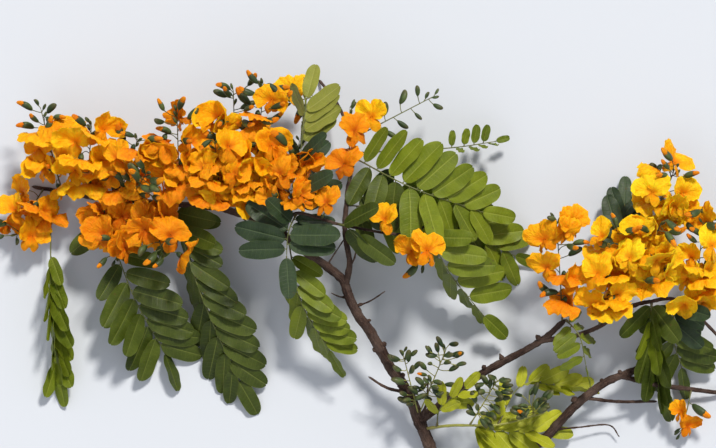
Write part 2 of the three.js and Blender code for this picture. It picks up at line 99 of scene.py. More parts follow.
# Short dry twigs and stumps on the limbs. Their heights are over the place where they start.
Twig = namedtuple("Twig", "on start path radius")
TWIGS = [
    Twig("main_stem", (357, 305), [(370, 301, 6), (385, 291, 11)], 0.85),
    Twig("main_stem", (349, 297), [(341, 297, -2), (331, 293, -6)], 0.75),
    Twig("main_stem", (363, 322), [(371, 320, 2)], 0.9),
    Twig("main_stem", (363, 317), [(357, 319, 1)], 1.4),
    Twig("main_stem", (379, 347), [(386, 343, 2)], 1.6),
    Twig("main_stem", (380, 348), [(373, 351, 1)], 1.6),
    Twig("main_stem", (392, 366), [(385, 366, 3)], 0.7),
    Twig("main_stem", (398, 377), [(405, 375, 3)], 1.5),
    Twig("main_stem", (426, 420), [(427, 404, 10), (428, 391, 14), (428, 379, 16)], 1.15),
    Twig("left_bough", (327, 266), [(333, 256, 4), (345, 238, 8)], 0.8),
    Twig("left_bough", (262, 222), [(255, 214, 4)], 1.1),
    Twig("left_bough", (242, 214), [(246, 221, -2)], 1.0),
    Twig("upper_bough", (349, 268), [(355, 256, 6), (357, 240, 10)], 0.9),
    Twig("right_bough", (503, 361), [(500, 354, 2)], 1.5),
    Twig("right_bough", (487, 371), [(483, 366, 2)], 1.4),
    Twig("right_bough", (541, 341), [(536, 335, 3)], 1.6),
    Twig("lower_bough", (578, 405), [(574, 398, 2)], 2.0),
    Twig("lower_bough", (606, 386), [(602, 380, 2)], 1.4),
    Twig("lower_bough", (620, 378), [(622, 371, 2)], 1.3),
    Twig("lower_bough", (642, 369), [(648, 358, 3), (651, 342, 8)], 0.8),
    Twig("lower_bough", (553, 430), [(580, 429, -4), (611, 427, -9), (622, 439, -12)], 0.85),
]

Leaf = namedtuple("Leaf", "name on start by to count left right spread size bare finish")
LEAVES = [
    Leaf("leaf_far_left", "left_bough_end", (48, 189), (49, 290, 20), (55, 374, 7),
         15, 46, 60, 30, 1.02, 0.3, "fresh"),
    Leaf("leaf_left", "left_bough_end", (97, 198), (130, 291, 28), (163, 354, 9),
         14, 8, 16, 50, 1.2, 0.26, "deep"),
    Leaf("leaf_mid_left", "left_bough_end", (172, 204), (199, 291, 34), (237, 382, 10),
         17, 10, -72, 42, 1.16, 0.22, "deep"),
    Leaf("leaf_centre", "left_bough", (286, 240), (301, 301, 62), (329, 350, 42),
         16, 12, -70, 48, 1.0, 0.12, "fresh"),
    Leaf("leaf_dark", "centre_twig", (297, 214), (289, 232, 84), (287, 256, 83),
         9, 8, 8, 108, 1.17, 0.12, "blue"),
    Leaf("leaf_twig", "centre_twig", (338, 224), (347, 227, 91), (356, 235, 92),
         3, 6, -60, 34, 1.16, 0.1, "deep"),
    Leaf("leaf_right", "upper_bough_end", (353, 158), (412, 188, 80), (482, 212, 48),
         17, 8, 6, 86, 1.22, 0.06, "fresh"),
    Leaf("leaf_right_low", "upper_bough", (348, 205), (434, 218, 46), (516, 256, 10),
         15, 10, -28, 40, 1.15, 0.22, "fresh"),
    Leaf("leaf_below_twig", "centre_twig", (427, 222), (446, 268, 60), (484, 316, 32),
         11, 8, -82, 66, 1.12, 0.12, "fresh"),
    Leaf("leaf_thin", "upper_bough_end", (353, 153), (446, 148, 34), (496, 141, 20),
         9, 15, 74, 72, 0.47, 0.52, "fresh"),
    Leaf("leaf_sage", "centre_twig", (303, 213), (301, 160, 92), (307, 100, 86),
         10, -78, 12, 54, 1.0, 0.6, "sage"),
    Leaf("leaf_pale", "right_bough", (566, 320), (579, 336, 60), (586, 366, 52),
         9, -76, 8, 82, 0.7, 0.05, "fresh"),
    Leaf("leaf_behind", "right_twig", (622, 306), (619, 250, 24), (627, 206, 12),
         9, 24, 20, 30, 0.92, 0.3, "sage"),
    Leaf("leaf_hanging", "right_edge_twig", (652, 302), (653, 340, 36), (663, 388, 18),
         9, 66, 40, 24, 1.2, 0.1, "fresh"),
    Leaf("leaf_right_edge", "right_edge_twig", (676, 302), (674, 335, 28), (684, 368, 14),
         10, 14, 24, 58, 1.05, 0.1, "deep"),
    Leaf("leaf_young_upper", "young_shoot", (498, 425), (524, 386, 22), (578, 390, 12),
         10, 16, 70, 28, 0.72, 0.4, "young"),
    Leaf("leaf_young_left", "young_shoot", (437, 427), (441, 408, 40), (464, 389, 50),
         7, 12, 18, 40, 0.64, 0.25, "young"),
    Leaf("leaf_young_low", "young_shoot", (474, 428), (503, 432, 28), (545, 432, 18),
         10, 12, 14, 36, 0.92, 0.05, "young"),
]

# A spray's tone is painted light: its petals' orange, from the sunlit bright through amber and orange to
# the shaded deep.
Spray = namedtuple("Spray", "name on start to order reach bare tone")
SPRAYS = [
    Spray("spray_far_left", "left_bough_end", (40, 188), (14, 236, 14), "FFF", 13, 0.3, "orange"),
    Spray("spray_left_top", "left_bough_end", (60, 192), (40, 108, 40), "FFFBBB", 11, 0.3, "amber"),
    Spray("spray_left_a", "left_bough_end", (86, 197), (92, 124, 58), "FFFF", 13, 0.3, "amber"),
    Spray("spray_left_b", "left_bough_end", (118, 200), (138, 140, 62), "FFFFB", 13, 0.3, "orange"),
    Spray("spray_left_low", "left_bough_end", (110, 199), (116, 258, 46), "FFF", 10, 0.3, "deep"),
    Spray("buds_left", "left_bough_end", (128, 201), (148, 174, 84), "BBBBBB", 12, 0.3, "deep"),
    Spray("spray_mid_low", "left_bough_end", (150, 202), (164, 256, 66), "FFFB", 11, 0.3, "deep"),
    Spray("spray_mid_a", "left_bough_end", (180, 204), (178, 114, 74), "FFFFBB", 12, 0.3, "orange"),
    Spray("spray_mid_b", "left_bough", (204, 206), (216, 142, 88), "FFFF", 12, 0.1, "orange"),
    Spray("spray_top", "left_bough", (236, 214), (234, 92, 70), "FFFFBBFBB", 13, 0.3, "amber"),
    Spray("spray_centre_a", "left_bough", (252, 219), (264, 86, 76), "FFFFBBBB", 12, 0.3, "orange"),
    Spray("spray_centre_b", "left_bough", (280, 231), (300, 142, 86), "FFFFB", 11, 0.3, "deep"),
    Spray("spray_crown", "upper_bough_end", (330, 92), (292, 102, 40), "BBBF", 8, 0.3, "amber"),
    Spray("spray_upper", "upper_bough_end", (349, 184), (350, 108, 60), "FF", 5, 0.1, "deep"),
    Spray("spray_upper_right", "upper_bough_end", (352, 139), (434, 96, 42), "FBBBBBBB", 8, 0.3, "amber"),
    Spray("bloom_hanging_left", "centre_twig", (322, 217), (330, 206, 90), "F", 4, 0.3, "deep"),
    Spray("bloom_hanging_mid", "centre_twig", (384, 232), (388, 222, 82), "F", 4, 0.3, "orange"),
    Spray("bloom_hanging_right", "centre_twig", (410, 234), (424, 264, 70), "BFFB", 7, 0.3, "orange"),
    Spray("spray_right_a", "right_bough", (562, 322), (556, 220, 60), "BFFBFF", 12, 0.3, "orange"),
    Spray("spray_right_b", "right_twig", (598, 324), (616, 228, 64), "FFFFB", 11, 0.15, "bright"),
    Spray("spray_right_c", "right_twig", (626, 298), (660, 222, 72), "FFFFFB", 14, 0.15, "bright"),
    Spray("spray_right_top", "right_twig", (655, 222), (674, 170, 54), "FFFFBB", 14, 0.15, "bright"),
    Spray("spray_right_edge", "right_edge_twig", (692, 312), (704, 212, 58), "FFFFBB", 9, 0.3, "bright"),
    Spray("spray_right_low", "lower_bough_fork", (694, 391), (684, 434, 9), "BFF", 6, 0.3, "orange"),
    Spray("buds_low", "main_stem", (423, 420), (403, 354, 46), "BBBBB", 8, 0.3, "orange"),
    Spray("buds_low_right", "main_stem", (421, 416), (446, 350, 48), "BBBBBBBB", 13, 0.3, "orange"),
    Spray("buds_shoot", "young_shoot", (470, 427), (496, 382, 50), "BBBBBBBB", 10, 0.3, "orange"),
    Spray("buds_shoot_end", "young_shoot", (536, 418), (532, 408, 36), "BBBBBB", 12, 0.3, "orange"),
]

# How a leaflet, flower or bud of the solids is made, and the turns and lifts that it tries, to lie clear.
RIB_STEPS = 6
STALK_STEPS = 4
STALK_BEND = 0.4
STALK_ARCH = 8
LEAFLET_LENGTH = 37
LEAFLET_WIDTH = 15
LEAFLET_ROLL = 13
LEAFLET_TURNS = (0, 10, -10, 20, -20, 34)
BLOOM_BASE = 7.5
BLOOM_RISE = 13.5
BLOOM_LIFTS = (0, 7, -7, 14, 21, 28, 35)
BUD_LENGTH = 10
BUD_RADIUS = 2.4
BUD_LIFTS = (0, 4, -4, 8, -8)
USUAL_CLOSING = 0.3
LAST_SPREAD = 8
RIB_END = 0.995

# A solid has taken a way if it has a point this near to where the way puts its tip or middle.
SAME_PLACE = 0.08
SAME_BUD_PLACE = 0.6

# A flower that no solid stands for takes one of its first lifts only.
NEAR_LIFTS = 3

# A spray also has this many more flowers and buds for each of its solid's, if its flowers reach out this
# far. The clearest of some tries is taken, between these heights, and only if it has the least room.
FULLER_FLOWERS = 0.95
FULLER_HANGING = 1.05
FULLER_BUDS = 1.1
FULLER_TRIES = 24
FULLER_REACH = 9
LOWEST = {"flower": 9, "hanging": 12, "bud": 5}
HIGHEST = {"flower": 84, "hanging": 84, "bud": 90}
LEAST_ROOM = {"flower": 4.2, "hanging": 4.0, "bud": 3.0, "leaflet": 1.0}

# Leaves that have more leaflets near their foot, under the flowers.
FOOT_LEAFLETS = {"leaf_mid_left": 10, "leaf_left": 2, "leaf_right_low": 6, "leaf_sage": 9,
                 "leaf_hanging": 2, "leaf_young_low": 4, "leaf_young_upper": 3, "leaf_right_edge": 4}

# Leaves whose leaflets close more towards the tip than is usual.
CLOSING = {"leaf_right": 0.75}

# Painted shade: darker leaflets where leaves lie in shade, from one share of the rib to another. Sides are
# 1 for left and -1 for right.
ShadedStretch = namedtuple("ShadedStretch", "start end sides finish")
SHADED_LEAFLETS = {
    "leaf_hanging": [ShadedStretch(0, 0.2, (1, -1), "deep"), ShadedStretch(0.4, 1, (1, -1), "deep")],
    "leaf_right": [ShadedStretch(0, 0.45, (-1,), "deep")],
    "leaf_right_low": [ShadedStretch(0, 0.2, (1, -1), "deep")],
    "leaf_sage": [ShadedStretch(0, 0.61, (1, -1), "blue")],
    "leaf_right_edge": [ShadedStretch(0, 0.35, (1,), "blue")],
    "leaf_behind": [ShadedStretch(0, 1, (1, -1), "blue")],
}

# Sprays whose flowers are smaller than the others, and sprays with fewer flowers besides the solid's.
SMALLER_FLOWERS = {"spray_right_low": 0.72}
FEWER_FLOWERS = {"spray_right_a": 0.4}


def unit(vectors):
    """Vectors of length one, in the same directions."""
    return vectors / np.maximum(np.linalg.norm(vectors, axis=-1, keepdims=True), 1e-9)


def ease(low, high, values):
    """A smooth rise from 0 to 1 as the values go from low to high."""
    share = np.clip((values - low) / (high - low), 0, 1)
    return share * share * (3 - 2 * share)


def place(spot):
    """The point of space over a point of the sheet."""
    x, y, height = spot
    return np.array([(x - SHEET_MIDDLE[0]) * SHEET_UNIT, (SHEET_MIDDLE[1] - y) * SHEET_UNIT, height])


WORD = 0xFFFFFFFF
SEED_STEP = 0x6D2B79F5


def seeded(seed):
    """The solids' own random numbers from -1 to 1, the same on every run."""
    state = seed

    def draw():
        nonlocal state
        state = (state + SEED_STEP) & WORD
        mixed = ((state ^ (state >> 15)) * (state | 1)) & WORD
        mixed ^= (mixed + (mixed ^ (mixed >> 7)) * (mixed | 61)) & WORD
        return 2 * (mixed ^ (mixed >> 14)) / (WORD + 1) - 1

    return draw


class Curve:
    """A smooth curve through some points."""

    def __init__(self, points):
        points = np.array(points, float)
        before = 2 * points[0] - points[1]
        after = 2 * points[-1] - points[-2]
        self.points = np.vstack([before, points, after])

    def at(self, shares):
        """The points at some shares of the way along, from 0 to 1."""
        spans = len(self.points) - 3
        along = np.clip(np.asarray(shares, float), 0, 1) * spans
        span = np.minimum(along.astype(int), spans - 1)
        w = (along - span)[..., None]
        p0, p1, p2, p3 = (self.points[span + k] for k in range(4))
        leaving = 0.5 * (p2 - p0)
        arriving = 0.5 * (p3 - p1)
        square = 3 * (p2 - p1) - 2 * leaving - arriving
        cube = 2 * (p1 - p2) + leaving + arriving
        return p1 + leaving * w + square * w**2 + cube * w**3

    def heading(self, share):
        """The direction of the curve at a share of the way along."""
        before, after = self.at([max(share - 1e-4, 0), min(share + 1e-4, 1)])
        return unit(after - before)

    def chord(self, share, steps):
        """The point at a share of the way along straight steps from point to point of the curve."""
        step = min(int(share * steps), steps - 1)
        start, end = self.at([step / steps, (step + 1) / steps])
        return start + (end - start) * (share * steps - step)

    def nearest(self, spot):
        """The curve's point that is nearest to a point of the sheet, as seen from above."""
        target = place((*spot, 0))
        along = self.at(np.linspace(0, 1, 241))
        return along[np.argmin(np.hypot(*(along - target)[:, :2].T))]

    def length(self):
        """How long the curve is."""
        steps = np.diff(self.at(np.linspace(0, 1, 200)), axis=0)
        return np.linalg.norm(steps, axis=1).sum()


NOISE_CELLS = 32
NOISE_VALUES = np.random.default_rng(NOISE_SEED).uniform(-1, 1, (NOISE_CELLS,) * 3)


def soft_noise(points):
    """Smooth random values from -1 to 1, which change over about one unit of the points."""
    cell = np.floor(points).astype(int)
    inside = points - cell
    inside = inside * inside * (3 - 2 * inside)
    total = 0
    for corner in product((0, 1), repeat=3):
        share = np.prod(np.where(corner, inside, 1 - inside), axis=-1)
        x, y, z = np.moveaxis((cell + corner) % NOISE_CELLS, -1, 0)
        total = total + share * NOISE_VALUES[x, y, z]
    return total


# Skins: every piece is made of closed skins, each of them rows of points round a ring.


def tube(path, radii, sides):
    """Rings round a path. Each ring is turned on from the ring before it, so that the skin isn't wrung."""
    path = np.asarray(path, float)
    axes = unit(np.gradient(path, axis=0))
    helper = UP if abs(axes[0] @ UP) < 0.95 else SHEET_TOP
    side = unit(np.cross(helper, axes[0]))
    turn = np.linspace(0, 2 * np.pi, sides, endpoint=False)
    radii = np.broadcast_to(np.asarray(radii, float).reshape(len(path), -1), (len(path), sides))
    rings = np.empty((len(path), sides, 3))
    for i, (centre, axis) in enumerate(zip(path, axes)):
        side = unit(side - axis * (side @ axis))
        over = np.cross(axis, side)
        rim = np.outer(np.cos(turn), side) + np.outer(np.sin(turn), over)
        rings[i] = centre + radii[i][:, None] * rim
    return rings


def turned(profile, sides, stretch=0.0, teeth=0):
    """Rings turned about the z axis from (radius, height) pairs. Teeth lengthen the pairs that say so."""
    turn = np.linspace(0, 2 * np.pi, sides, endpoint=False)
    rings = []
    for radius, height, *toothed in profile:
        rise = stretch * (0.5 + 0.5 * np.cos(teeth * turn)) ** 2 * (toothed[0] if toothed else 0)
        rings.append(np.stack([radius * np.cos(turn), radius * np.sin(turn), height + rise], axis=1))
    return np.array(rings)


def shell(front, thickness):
    """Rings over the front of a thin blade and back behind it. The two sides share its long rims."""
    across = np.gradient(front, axis=1)
    along = np.gradient(front, axis=0)
    behind = front - unit(np.cross(across, along)) * np.asarray(thickness)[..., None]
    return np.concatenate([front, behind[:, -2:0:-1]], axis=1)


def shell_spots(across, along):
    """For each point of a shell, how far across and along it lies, and 1 on its back."""
    rows = len(along)
    columns = len(across)
    u = np.concatenate([across, across[-2:0:-1]])
    back = np.concatenate([np.zeros(columns), np.ones(columns - 2)])
    grid = np.broadcast_to(np.stack([u, np.zeros_like(u), back], axis=1), (rows, len(u), 3)).copy()
    grid[..., 1] = np.asarray(along)[:, None]
    return grid


def round_spots(rows, sides, along=None):
    """For each point of a round skin, where it lies round it and along it."""
    turn = np.linspace(0, 2 * np.pi, sides, endpoint=False)
    grid = np.zeros((rows, sides, 3))
    grid[..., 0] = np.cos(turn)
    grid[..., 1] = (np.linspace(0, 1, rows) if along is None else np.asarray(along))[:, None]
    return grid


# How much larger than its skin an unrolled cell is, and the cell's shares for the skin and for its edge.
CELL_ROOM = 1.04
CELL_INNER = 0.96
CELL_EDGE = 0.02


class Skins:
    """The skins that are joined into one piece of the branch."""

    def __init__(self):
        self.points = []
        self.quads = []
        self.spots = []
        self.tints = []
        self.rims = []
        self.corner_shares = []
        self.cells = []
        self.nodes = []
        self.total = 0

    def add(self, rings, spots, tint, node, thin=False):
        """Adds a closed skin. The rims of a thin one stay sharp."""
        rows, sides = rings.shape[:2]
        i, j = np.meshgrid(np.arange(rows - 1), np.arange(sides), indexing="ij")
        i = i.ravel()
        j = j.ravel()
        onward = (j + 1) % sides
        near = i * sides
        far = near + sides
        around = np.stack([near + j, near + onward, far + onward, far + j], axis=1)
        low = np.stack([j, j + 1, j + 1, j], axis=1) / sides
        high = np.stack([i, i, i + 1, i + 1], axis=1) / (rows - 1)
        pair = np.arange(sides // 2 - 1)
        cap = np.stack([pair, pair + 1, sides - 2 - pair, sides - 1 - pair], axis=1)
        end = cap + (rows - 1) * sides
        faces = np.concatenate([around, cap[:, ::-1], end])
        cap_shares = np.stack([cap / sides, np.zeros(cap.shape)], axis=2)
        end_shares = np.stack([cap / sides, np.ones(cap.shape)], axis=2)
        rim = np.zeros((rows, sides), bool)
        if thin:
            rim[[0, -1]] = True
            rim[:, [0, sides // 2]] = True
        self.points.append(rings.reshape(-1, 3))
        self.quads.append(faces + self.total)
        self.spots.append(spots.reshape(-1, 3))
        self.tints.append(np.broadcast_to(np.asarray(tint, float), (rows * sides, 3)))
        self.rims.append(rim.ravel())
        around_shares = np.stack([low, high], axis=2)
        self.corner_shares.append(np.concatenate([around_shares, cap_shares[:, ::-1], end_shares]))
        girth = np.linalg.norm(rings - np.roll(rings, 1, axis=1), axis=2).sum(axis=1).mean()
        length = np.linalg.norm(np.diff(rings, axis=0), axis=2).sum(axis=0).mean()
        self.cells.append((girth, length))
        self.nodes.extend([node] if isinstance(node, str) else node)
        self.total += rows * sides

    def make(self, name, material, slot):
        """One joined mesh of all the skins, which stands for their solids."""
        mesh = bpy.data.meshes.new(name)
        quads = np.concatenate(self.quads)
        mesh.vertices.add(self.total)
        points = np.concatenate(self.points)
        high = np.maximum(points[:, 2] - HIGH, 0)
        points[:, 2] = np.maximum(points[:, 2] - high + HIGH_SPAN * np.tanh(high / HIGH_SPAN), GROUND_GAP)
        mesh.vertices.foreach_set("co", (points * METRES).ravel())
        mesh.loops.add(quads.size)
        mesh.polygons.add(len(quads))
        mesh.loops.foreach_set("vertex_index", quads.ravel())
        mesh.polygons.foreach_set("loop_start", np.arange(len(quads)) * 4)
        mesh.update(calc_edges=True)
        for label, values in (("spot", self.spots), ("tint", self.tints)):
            attribute = mesh.attributes.new(label, "FLOAT_VECTOR", "POINT")
            attribute.data.foreach_set("vector", np.concatenate(values).ravel())
        self._mark_rims(mesh)
        layer = mesh.uv_layers.new(name="OFBake")
        layer.uv.foreach_set("vector", self._laid_out().ravel())
        mesh.materials.append(material)
        piece = bpy.data.objects.new(name, mesh)
        bpy.context.scene.collection.objects.link(piece)
        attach(piece, "root")
        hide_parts(*sorted(set(self.nodes)))

    def _mark_rims(self, mesh):
        """Keeps the rims of thin skins sharp."""
        ends = np.empty(len(mesh.edges) * 2, np.int32)
        mesh.edges.foreach_get("vertices", ends)
        rims = np.concatenate(self.rims)
        sharp = mesh.attributes.new("sharp_edge", "BOOLEAN", "EDGE")
        sharp.data.foreach_set("value", rims[ends.reshape(-1, 2)].all(axis=1))

    def _laid_out(self):
        """Each skin unrolled into its own rectangle, and the rectangles laid in rows in a square."""
        sizes = np.array(self.cells) * CELL_ROOM
        side = math.sqrt(sizes.prod(axis=1).sum()) * CELL_ROOM + sizes[:, 0].max() / 2
        corners = np.zeros_like(sizes)
        x = y = tallest = 0.0
        for i in np.argsort(-sizes[:, 1], kind="stable"):
            if x + sizes[i, 0] > side:
                x = 0.0
                y += tallest
                tallest = 0.0
            corners[i] = x, y
            x += sizes[i, 0]
            tallest = max(tallest, sizes[i, 1])
        whole = max(side, y + tallest)
        laid = [corner + CELL_INNER * size * shares + CELL_EDGE * size
                for corner, size, shares in zip(corners, sizes, self.corner_shares)]
        return np.concatenate(laid) / whole


class Place:
    """Three directions at right angles and an origin, in which a leaflet or flower is drawn."""

    def __init__(self, origin, x, y, z):
        self.origin = origin
        self.axes = np.array([x, y, z])

    def put(self, points):
        """Where points of the drawing come to lie."""
        return self.origin + points @ self.axes


# Which way each leaflet, flower and bud lies: the first of its tries that its solid has taken.


def grow_limbs():
    """The centre line of each limb."""
    curves = {}
    for row in LIMBS:
        start = [curves[row.on].nearest(row.start)] if row.on else []
        curves[row.name] = Curve([*start, *map(place, row.path)])
    return curves


def solid_points(node):
    """The points of a node's solid."""
    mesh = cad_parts[node].data
    points = np.empty(len(mesh.vertices) * 3, np.float32)
    mesh.vertices.foreach_get("co", points)
    return points.reshape(-1, 3) / METRES


# A leaflet, flower or bud: its size, the ways in which it may lie, and its solid's way, or None.
# A way is a place for it, and the share of the way along the stalk at which it starts.
Piece = namedtuple("Piece", "kind size ways way")
Way = namedtuple("Way", "share place")

# Points that stand for the room a leaflet, flower or bud takes up, in its own place.
ROOM = {
    "leaflet": np.array(list(product((-4.5, 0, 4.5), (7, 14, 21, 28, 34), (0,))), float),
    "flower": np.array([(0, 0, 2), (0, 7, 6), (-9, 8, 5), (9, 8, 5), (0, -7, 9)], float),
    "hanging": np.array([(0, 0, 3), (0, 7, 9), (-8, 6, 13), (8, 6, 13), (0, 2, 17)], float),
    "bud": np.array([(0, 0, 1), (0, 0, 6), (0, 0, 11)], float),
}


# A way is the worse, the further its lowest point lies under this height.
LEAST_HEIGHT = 2
SINKING_COST = 3


def taken(solid, marks, reach):
    """The number of the first mark that has a point of the solid within reach, or None."""
    away = np.linalg.norm(solid[None] - np.array(marks)[:, None], axis=2).min(axis=1)
    near = np.flatnonzero(away < reach)
    return near[0] if len(near) else None


def clearest(kind, ways, standing):
    """Of some ways, the one that keeps furthest from the points that stand, and how far that is."""
    marks = np.concatenate([way.place.put(ROOM[kind]) for way in ways])
    away = np.linalg.norm(marks[:, None] - standing[None], axis=2).min(axis=1)
    gaps = away.reshape(len(ways), -1).min(axis=1)
    lowest = marks[:, 2].reshape(len(ways), -1).min(axis=1)
    gaps = gaps - SINKING_COST * np.maximum(LEAST_HEIGHT - lowest, 0)
    best = int(np.argmax(gaps))
    return ways[best], gaps[best]


def leaflets_of(row, curve, draw, solid):
    """Each leaflet of a leaf, by the rule of the solids, with the way that its solid has taken."""
    for i in range(row.count):
        share = (i + 0.5) / row.count
        is_last = i == row.count - 1
        side = -1 if i % 2 else 1
        t = RIB_END if is_last else row.bare + (1 - row.bare) * share
        along = curve.heading(t)
        across = unit(np.cross(UP, along)) * side
        wander = [draw() for _ in range(3)]
        closing = CLOSING.get(row.name, USUAL_CLOSING)
        turned_out = row.spread * (1.08 - closing * share) + 5 * wander[0]
        spread = math.radians(LAST_SPREAD if is_last else turned_out)
        size = row.size * (0.74 + 0.26 * math.sin(math.pi * share)) * (1 + 0.06 * wander[1])
        lean = (row.left if side > 0 else row.right) + 6 * wander[2]
        origin = curve.chord(t, RIB_STEPS)
        ways = []
        for turn in LEAFLET_TURNS:
            tilt = math.radians(lean + turn)
            out = across * math.cos(tilt) + UP * math.sin(tilt)
            onward = along * math.cos(spread) + out * math.sin(spread)
            sideways = out * math.cos(spread) - along * math.sin(spread)
            ways.append(Way(t, leaflet_place(origin, onward, sideways)))
        tip = np.array([0, LEAFLET_LENGTH * size, 0])
        way = taken(solid, [way.place.put(tip) for way in ways], SAME_PLACE)
        yield Piece("leaflet", size, ways, way)


def leaflet_place(origin, along, across):
    """A leaflet's own directions: rolled about its length, so that the next one slips under it."""
    roll = math.radians(LEAFLET_ROLL)
    normal = np.cross(across, along)
    sideways = across * math.cos(roll) + normal * math.sin(roll)
    upward = np.cross(sideways, along)
    return Place(origin, sideways, along, upward)


def flowers_of(row, curve, draw, solid):
    """Each flower and bud of a spray, by the rule of the solids, with the way that its solid has taken."""
    count = len(row.order)
    for i, kind in enumerate(row.order):
        side = -1 if i % 2 else 1
        t = row.bare + (1 - row.bare) * (i + 0.4) / count if count > 1 else 0.96
        root = curve.chord(t, STALK_STEPS)
        along = curve.heading(t)
        level = unit(np.cross(UP, along)) * side
        wander = [draw() for _ in range(4)]
        out = unit(level + UP * (0.3 + 0.25 * wander[0]) + along * 0.25)
        if kind == "B":
            reach = row.reach * (0.65 + 0.25 * wander[2])
            onward = unit(out + along * (0.5 + 0.4 * wander[3]))
            size = 0.95 + 0.15 * wander[1]
            ways = [Way(t, bud_place(root + out * reach + UP * lift, onward)) for lift in BUD_LIFTS]
            tip = np.array([0, 0, BUD_LENGTH * size])
            way = taken(solid, [way.place.put(tip) for way in ways], SAME_BUD_PLACE)
            yield Piece("bud", size, ways, way)
            continue
        forward = unit(UP * 0.85 + level * 0.4 + SHEET_TOP * (-0.32 + 0.2 * wander[2]))
        size = 1 + 0.08 * wander[1]
        ways = []
        for lift in BLOOM_LIFTS:
            face = root + out * row.reach + UP * (lift + BLOOM_BASE)
            base = face - forward * BLOOM_BASE * size
            ways.append(Way(t, flower_place(base, forward, SHEET_TOP + level * (0.15 + 0.35 * wander[3]))))
        middle = np.array([0, 0.45 * BLOOM_RISE * size, 6 * size + 0.45])
        way = taken(solid, [way.place.put(middle) for way in ways], SAME_PLACE)
        yield Piece("flower", size, ways, way)


def bud_place(base, onward):
    """A bud's own directions, with its length along z."""
    helper = UP if abs(onward @ UP) < 0.9 else SHEET_TOP
    side = unit(np.cross(helper, onward))
    return Place(base, side, np.cross(onward, side), onward)


def flower_place(base, forward, lean):
    """A flower's own directions: it faces along z, and its broad petal rises along y."""
    top = unit(lean - forward * (lean @ forward))
    return Place(base, np.cross(top, forward), top, forward)


def foot_leaflet(row, curve, chance):
    """Some ways for one more leaflet, on the bare foot of a leaf's rib."""
    ways = []
    for _ in range(FULLER_TRIES):
        share = chance.uniform(0.03, row.bare + 0.04)
        along = curve.heading(share)
        side = chance.choice([-1, 1])
        tilt = math.radians((row.left if side > 0 else row.right) + chance.uniform(-40, 40))
        spread = math.radians(row.spread + chance.uniform(-12, 25))
        out = unit(np.cross(UP, along)) * side * math.cos(tilt) + UP * math.sin(tilt)
        onward = along * math.cos(spread) + out * math.sin(spread)
        sideways = out * math.cos(spread) - along * math.sin(spread)
        ways.append(Way(share, leaflet_place(curve.at(share), onward, sideways)))
    return Piece("leaflet", row.size * chance.uniform(0.8, 0.95), ways, None)


def fuller_flower(row, curve, chance):
    """Some ways for one more flower, on any side of a spray's stalk."""
    ways = []
    for _ in range(FULLER_TRIES):
        share = chance.uniform(0.3 - 0.5 * row.bare, 0.95)
        along = curve.heading(share)
        level = unit(np.cross(UP, along)) * chance.choice([-1, 1])
        out = unit(level * chance.uniform(0.1, 1) + UP * chance.uniform(-0.3, 0.9)
                   + along * chance.uniform(-0.2, 0.45))
        forward = unit(UP * chance.uniform(0.15, 1) + level * chance.uniform(-0.7, 0.9)
                       + SHEET_TOP * chance.uniform(-1.0, 0.2))
        base = curve.at(share) + out * row.reach * chance.uniform(0.6, 1.3)
        base[2] = np.clip(base[2], LOWEST["flower"], HIGHEST["flower"])
        ways.append(Way(share, flower_place(base, forward, SHEET_TOP + level * chance.uniform(-0.9, 0.9))))
    return Piece("flower", chance.uniform(0.82, 1.08), ways, None)


def hanging_flower(row, curve, chance):
    """Some ways for one more flower, which hangs down the sheet and shows the back of its broad petal."""
    furthest = 0.55 if curve.heading(0.5) @ SHEET_TOP < 0 else 0.9
    ways = []
    for _ in range(FULLER_TRIES):
        share = chance.uniform(0.42 - 0.5 * row.bare, furthest)
        along = curve.heading(share)
        level = unit(np.cross(UP, along)) * chance.choice([-1, 1])
        out = unit(level * chance.uniform(0.1, 1) + UP * chance.uniform(0.1, 1)
                   + along * chance.uniform(-0.1, 0.6))
        forward = unit(UP * chance.uniform(-0.25, 0.45) + level * chance.uniform(-0.6, 0.6) - SHEET_TOP)
        base = curve.at(share) + out * row.reach * chance.uniform(0.5, 1.1)
        base[2] = np.clip(base[2], LOWEST["hanging"], HIGHEST["hanging"])
        ways.append(Way(share, flower_place(base, forward, UP + level * chance.uniform(-0.5, 0.5))))
    return Piece("hanging", chance.uniform(0.85, 1.1), ways, None)


def fuller_bud(row, curve, chance):
    """Some ways for one more bud, which stands out over a spray's flowers."""
    ways = []
    for _ in range(FULLER_TRIES):
        share = chance.uniform(0.35, 0.98)
        along = curve.heading(share)
        level = unit(np.cross(UP, along)) * chance.choice([-1, 1])
        out = unit(level * chance.uniform(0, 1) + UP * chance.uniform(0.3, 1.2)
                   + along * chance.uniform(-0.2, 0.6))
        onward = unit(level * chance.uniform(0.2, 1) + UP * chance.uniform(0, 0.7)
                      + along * chance.uniform(-0.4, 0.9))
        base = curve.at(share) + out * row.reach * chance.uniform(0.8, 1.35)
        base[2] = np.clip(base[2], LOWEST["bud"], HIGHEST["bud"])
        ways.append(Way(share, bud_place(base, onward)))
    return Piece("bud", chance.uniform(0.7, 1.0), ways, None)


def wanted_besides(row):
    """The functions that grow the leaflets, flowers and buds which a row has besides its solid's."""
    if isinstance(row, Leaf):
        return [foot_leaflet] * FOOT_LEAFLETS.get(row.name, 0)
    is_young = row.name in YOUNG_BUDS
    if row.reach < FULLER_REACH and not is_young:
        return []
    flowers = row.order.count("F")
    share = FEWER_FLOWERS.get(row.name, 1)
    buds = (2 if is_young else 1) * FULLER_BUDS * (len(row.order) - 0.5 * flowers)
    return ([fuller_bud] * round(buds)
            + [fuller_flower] * round(share * FULLER_FLOWERS * flowers)
            + [hanging_flower] * round(share * FULLER_HANGING * flowers))


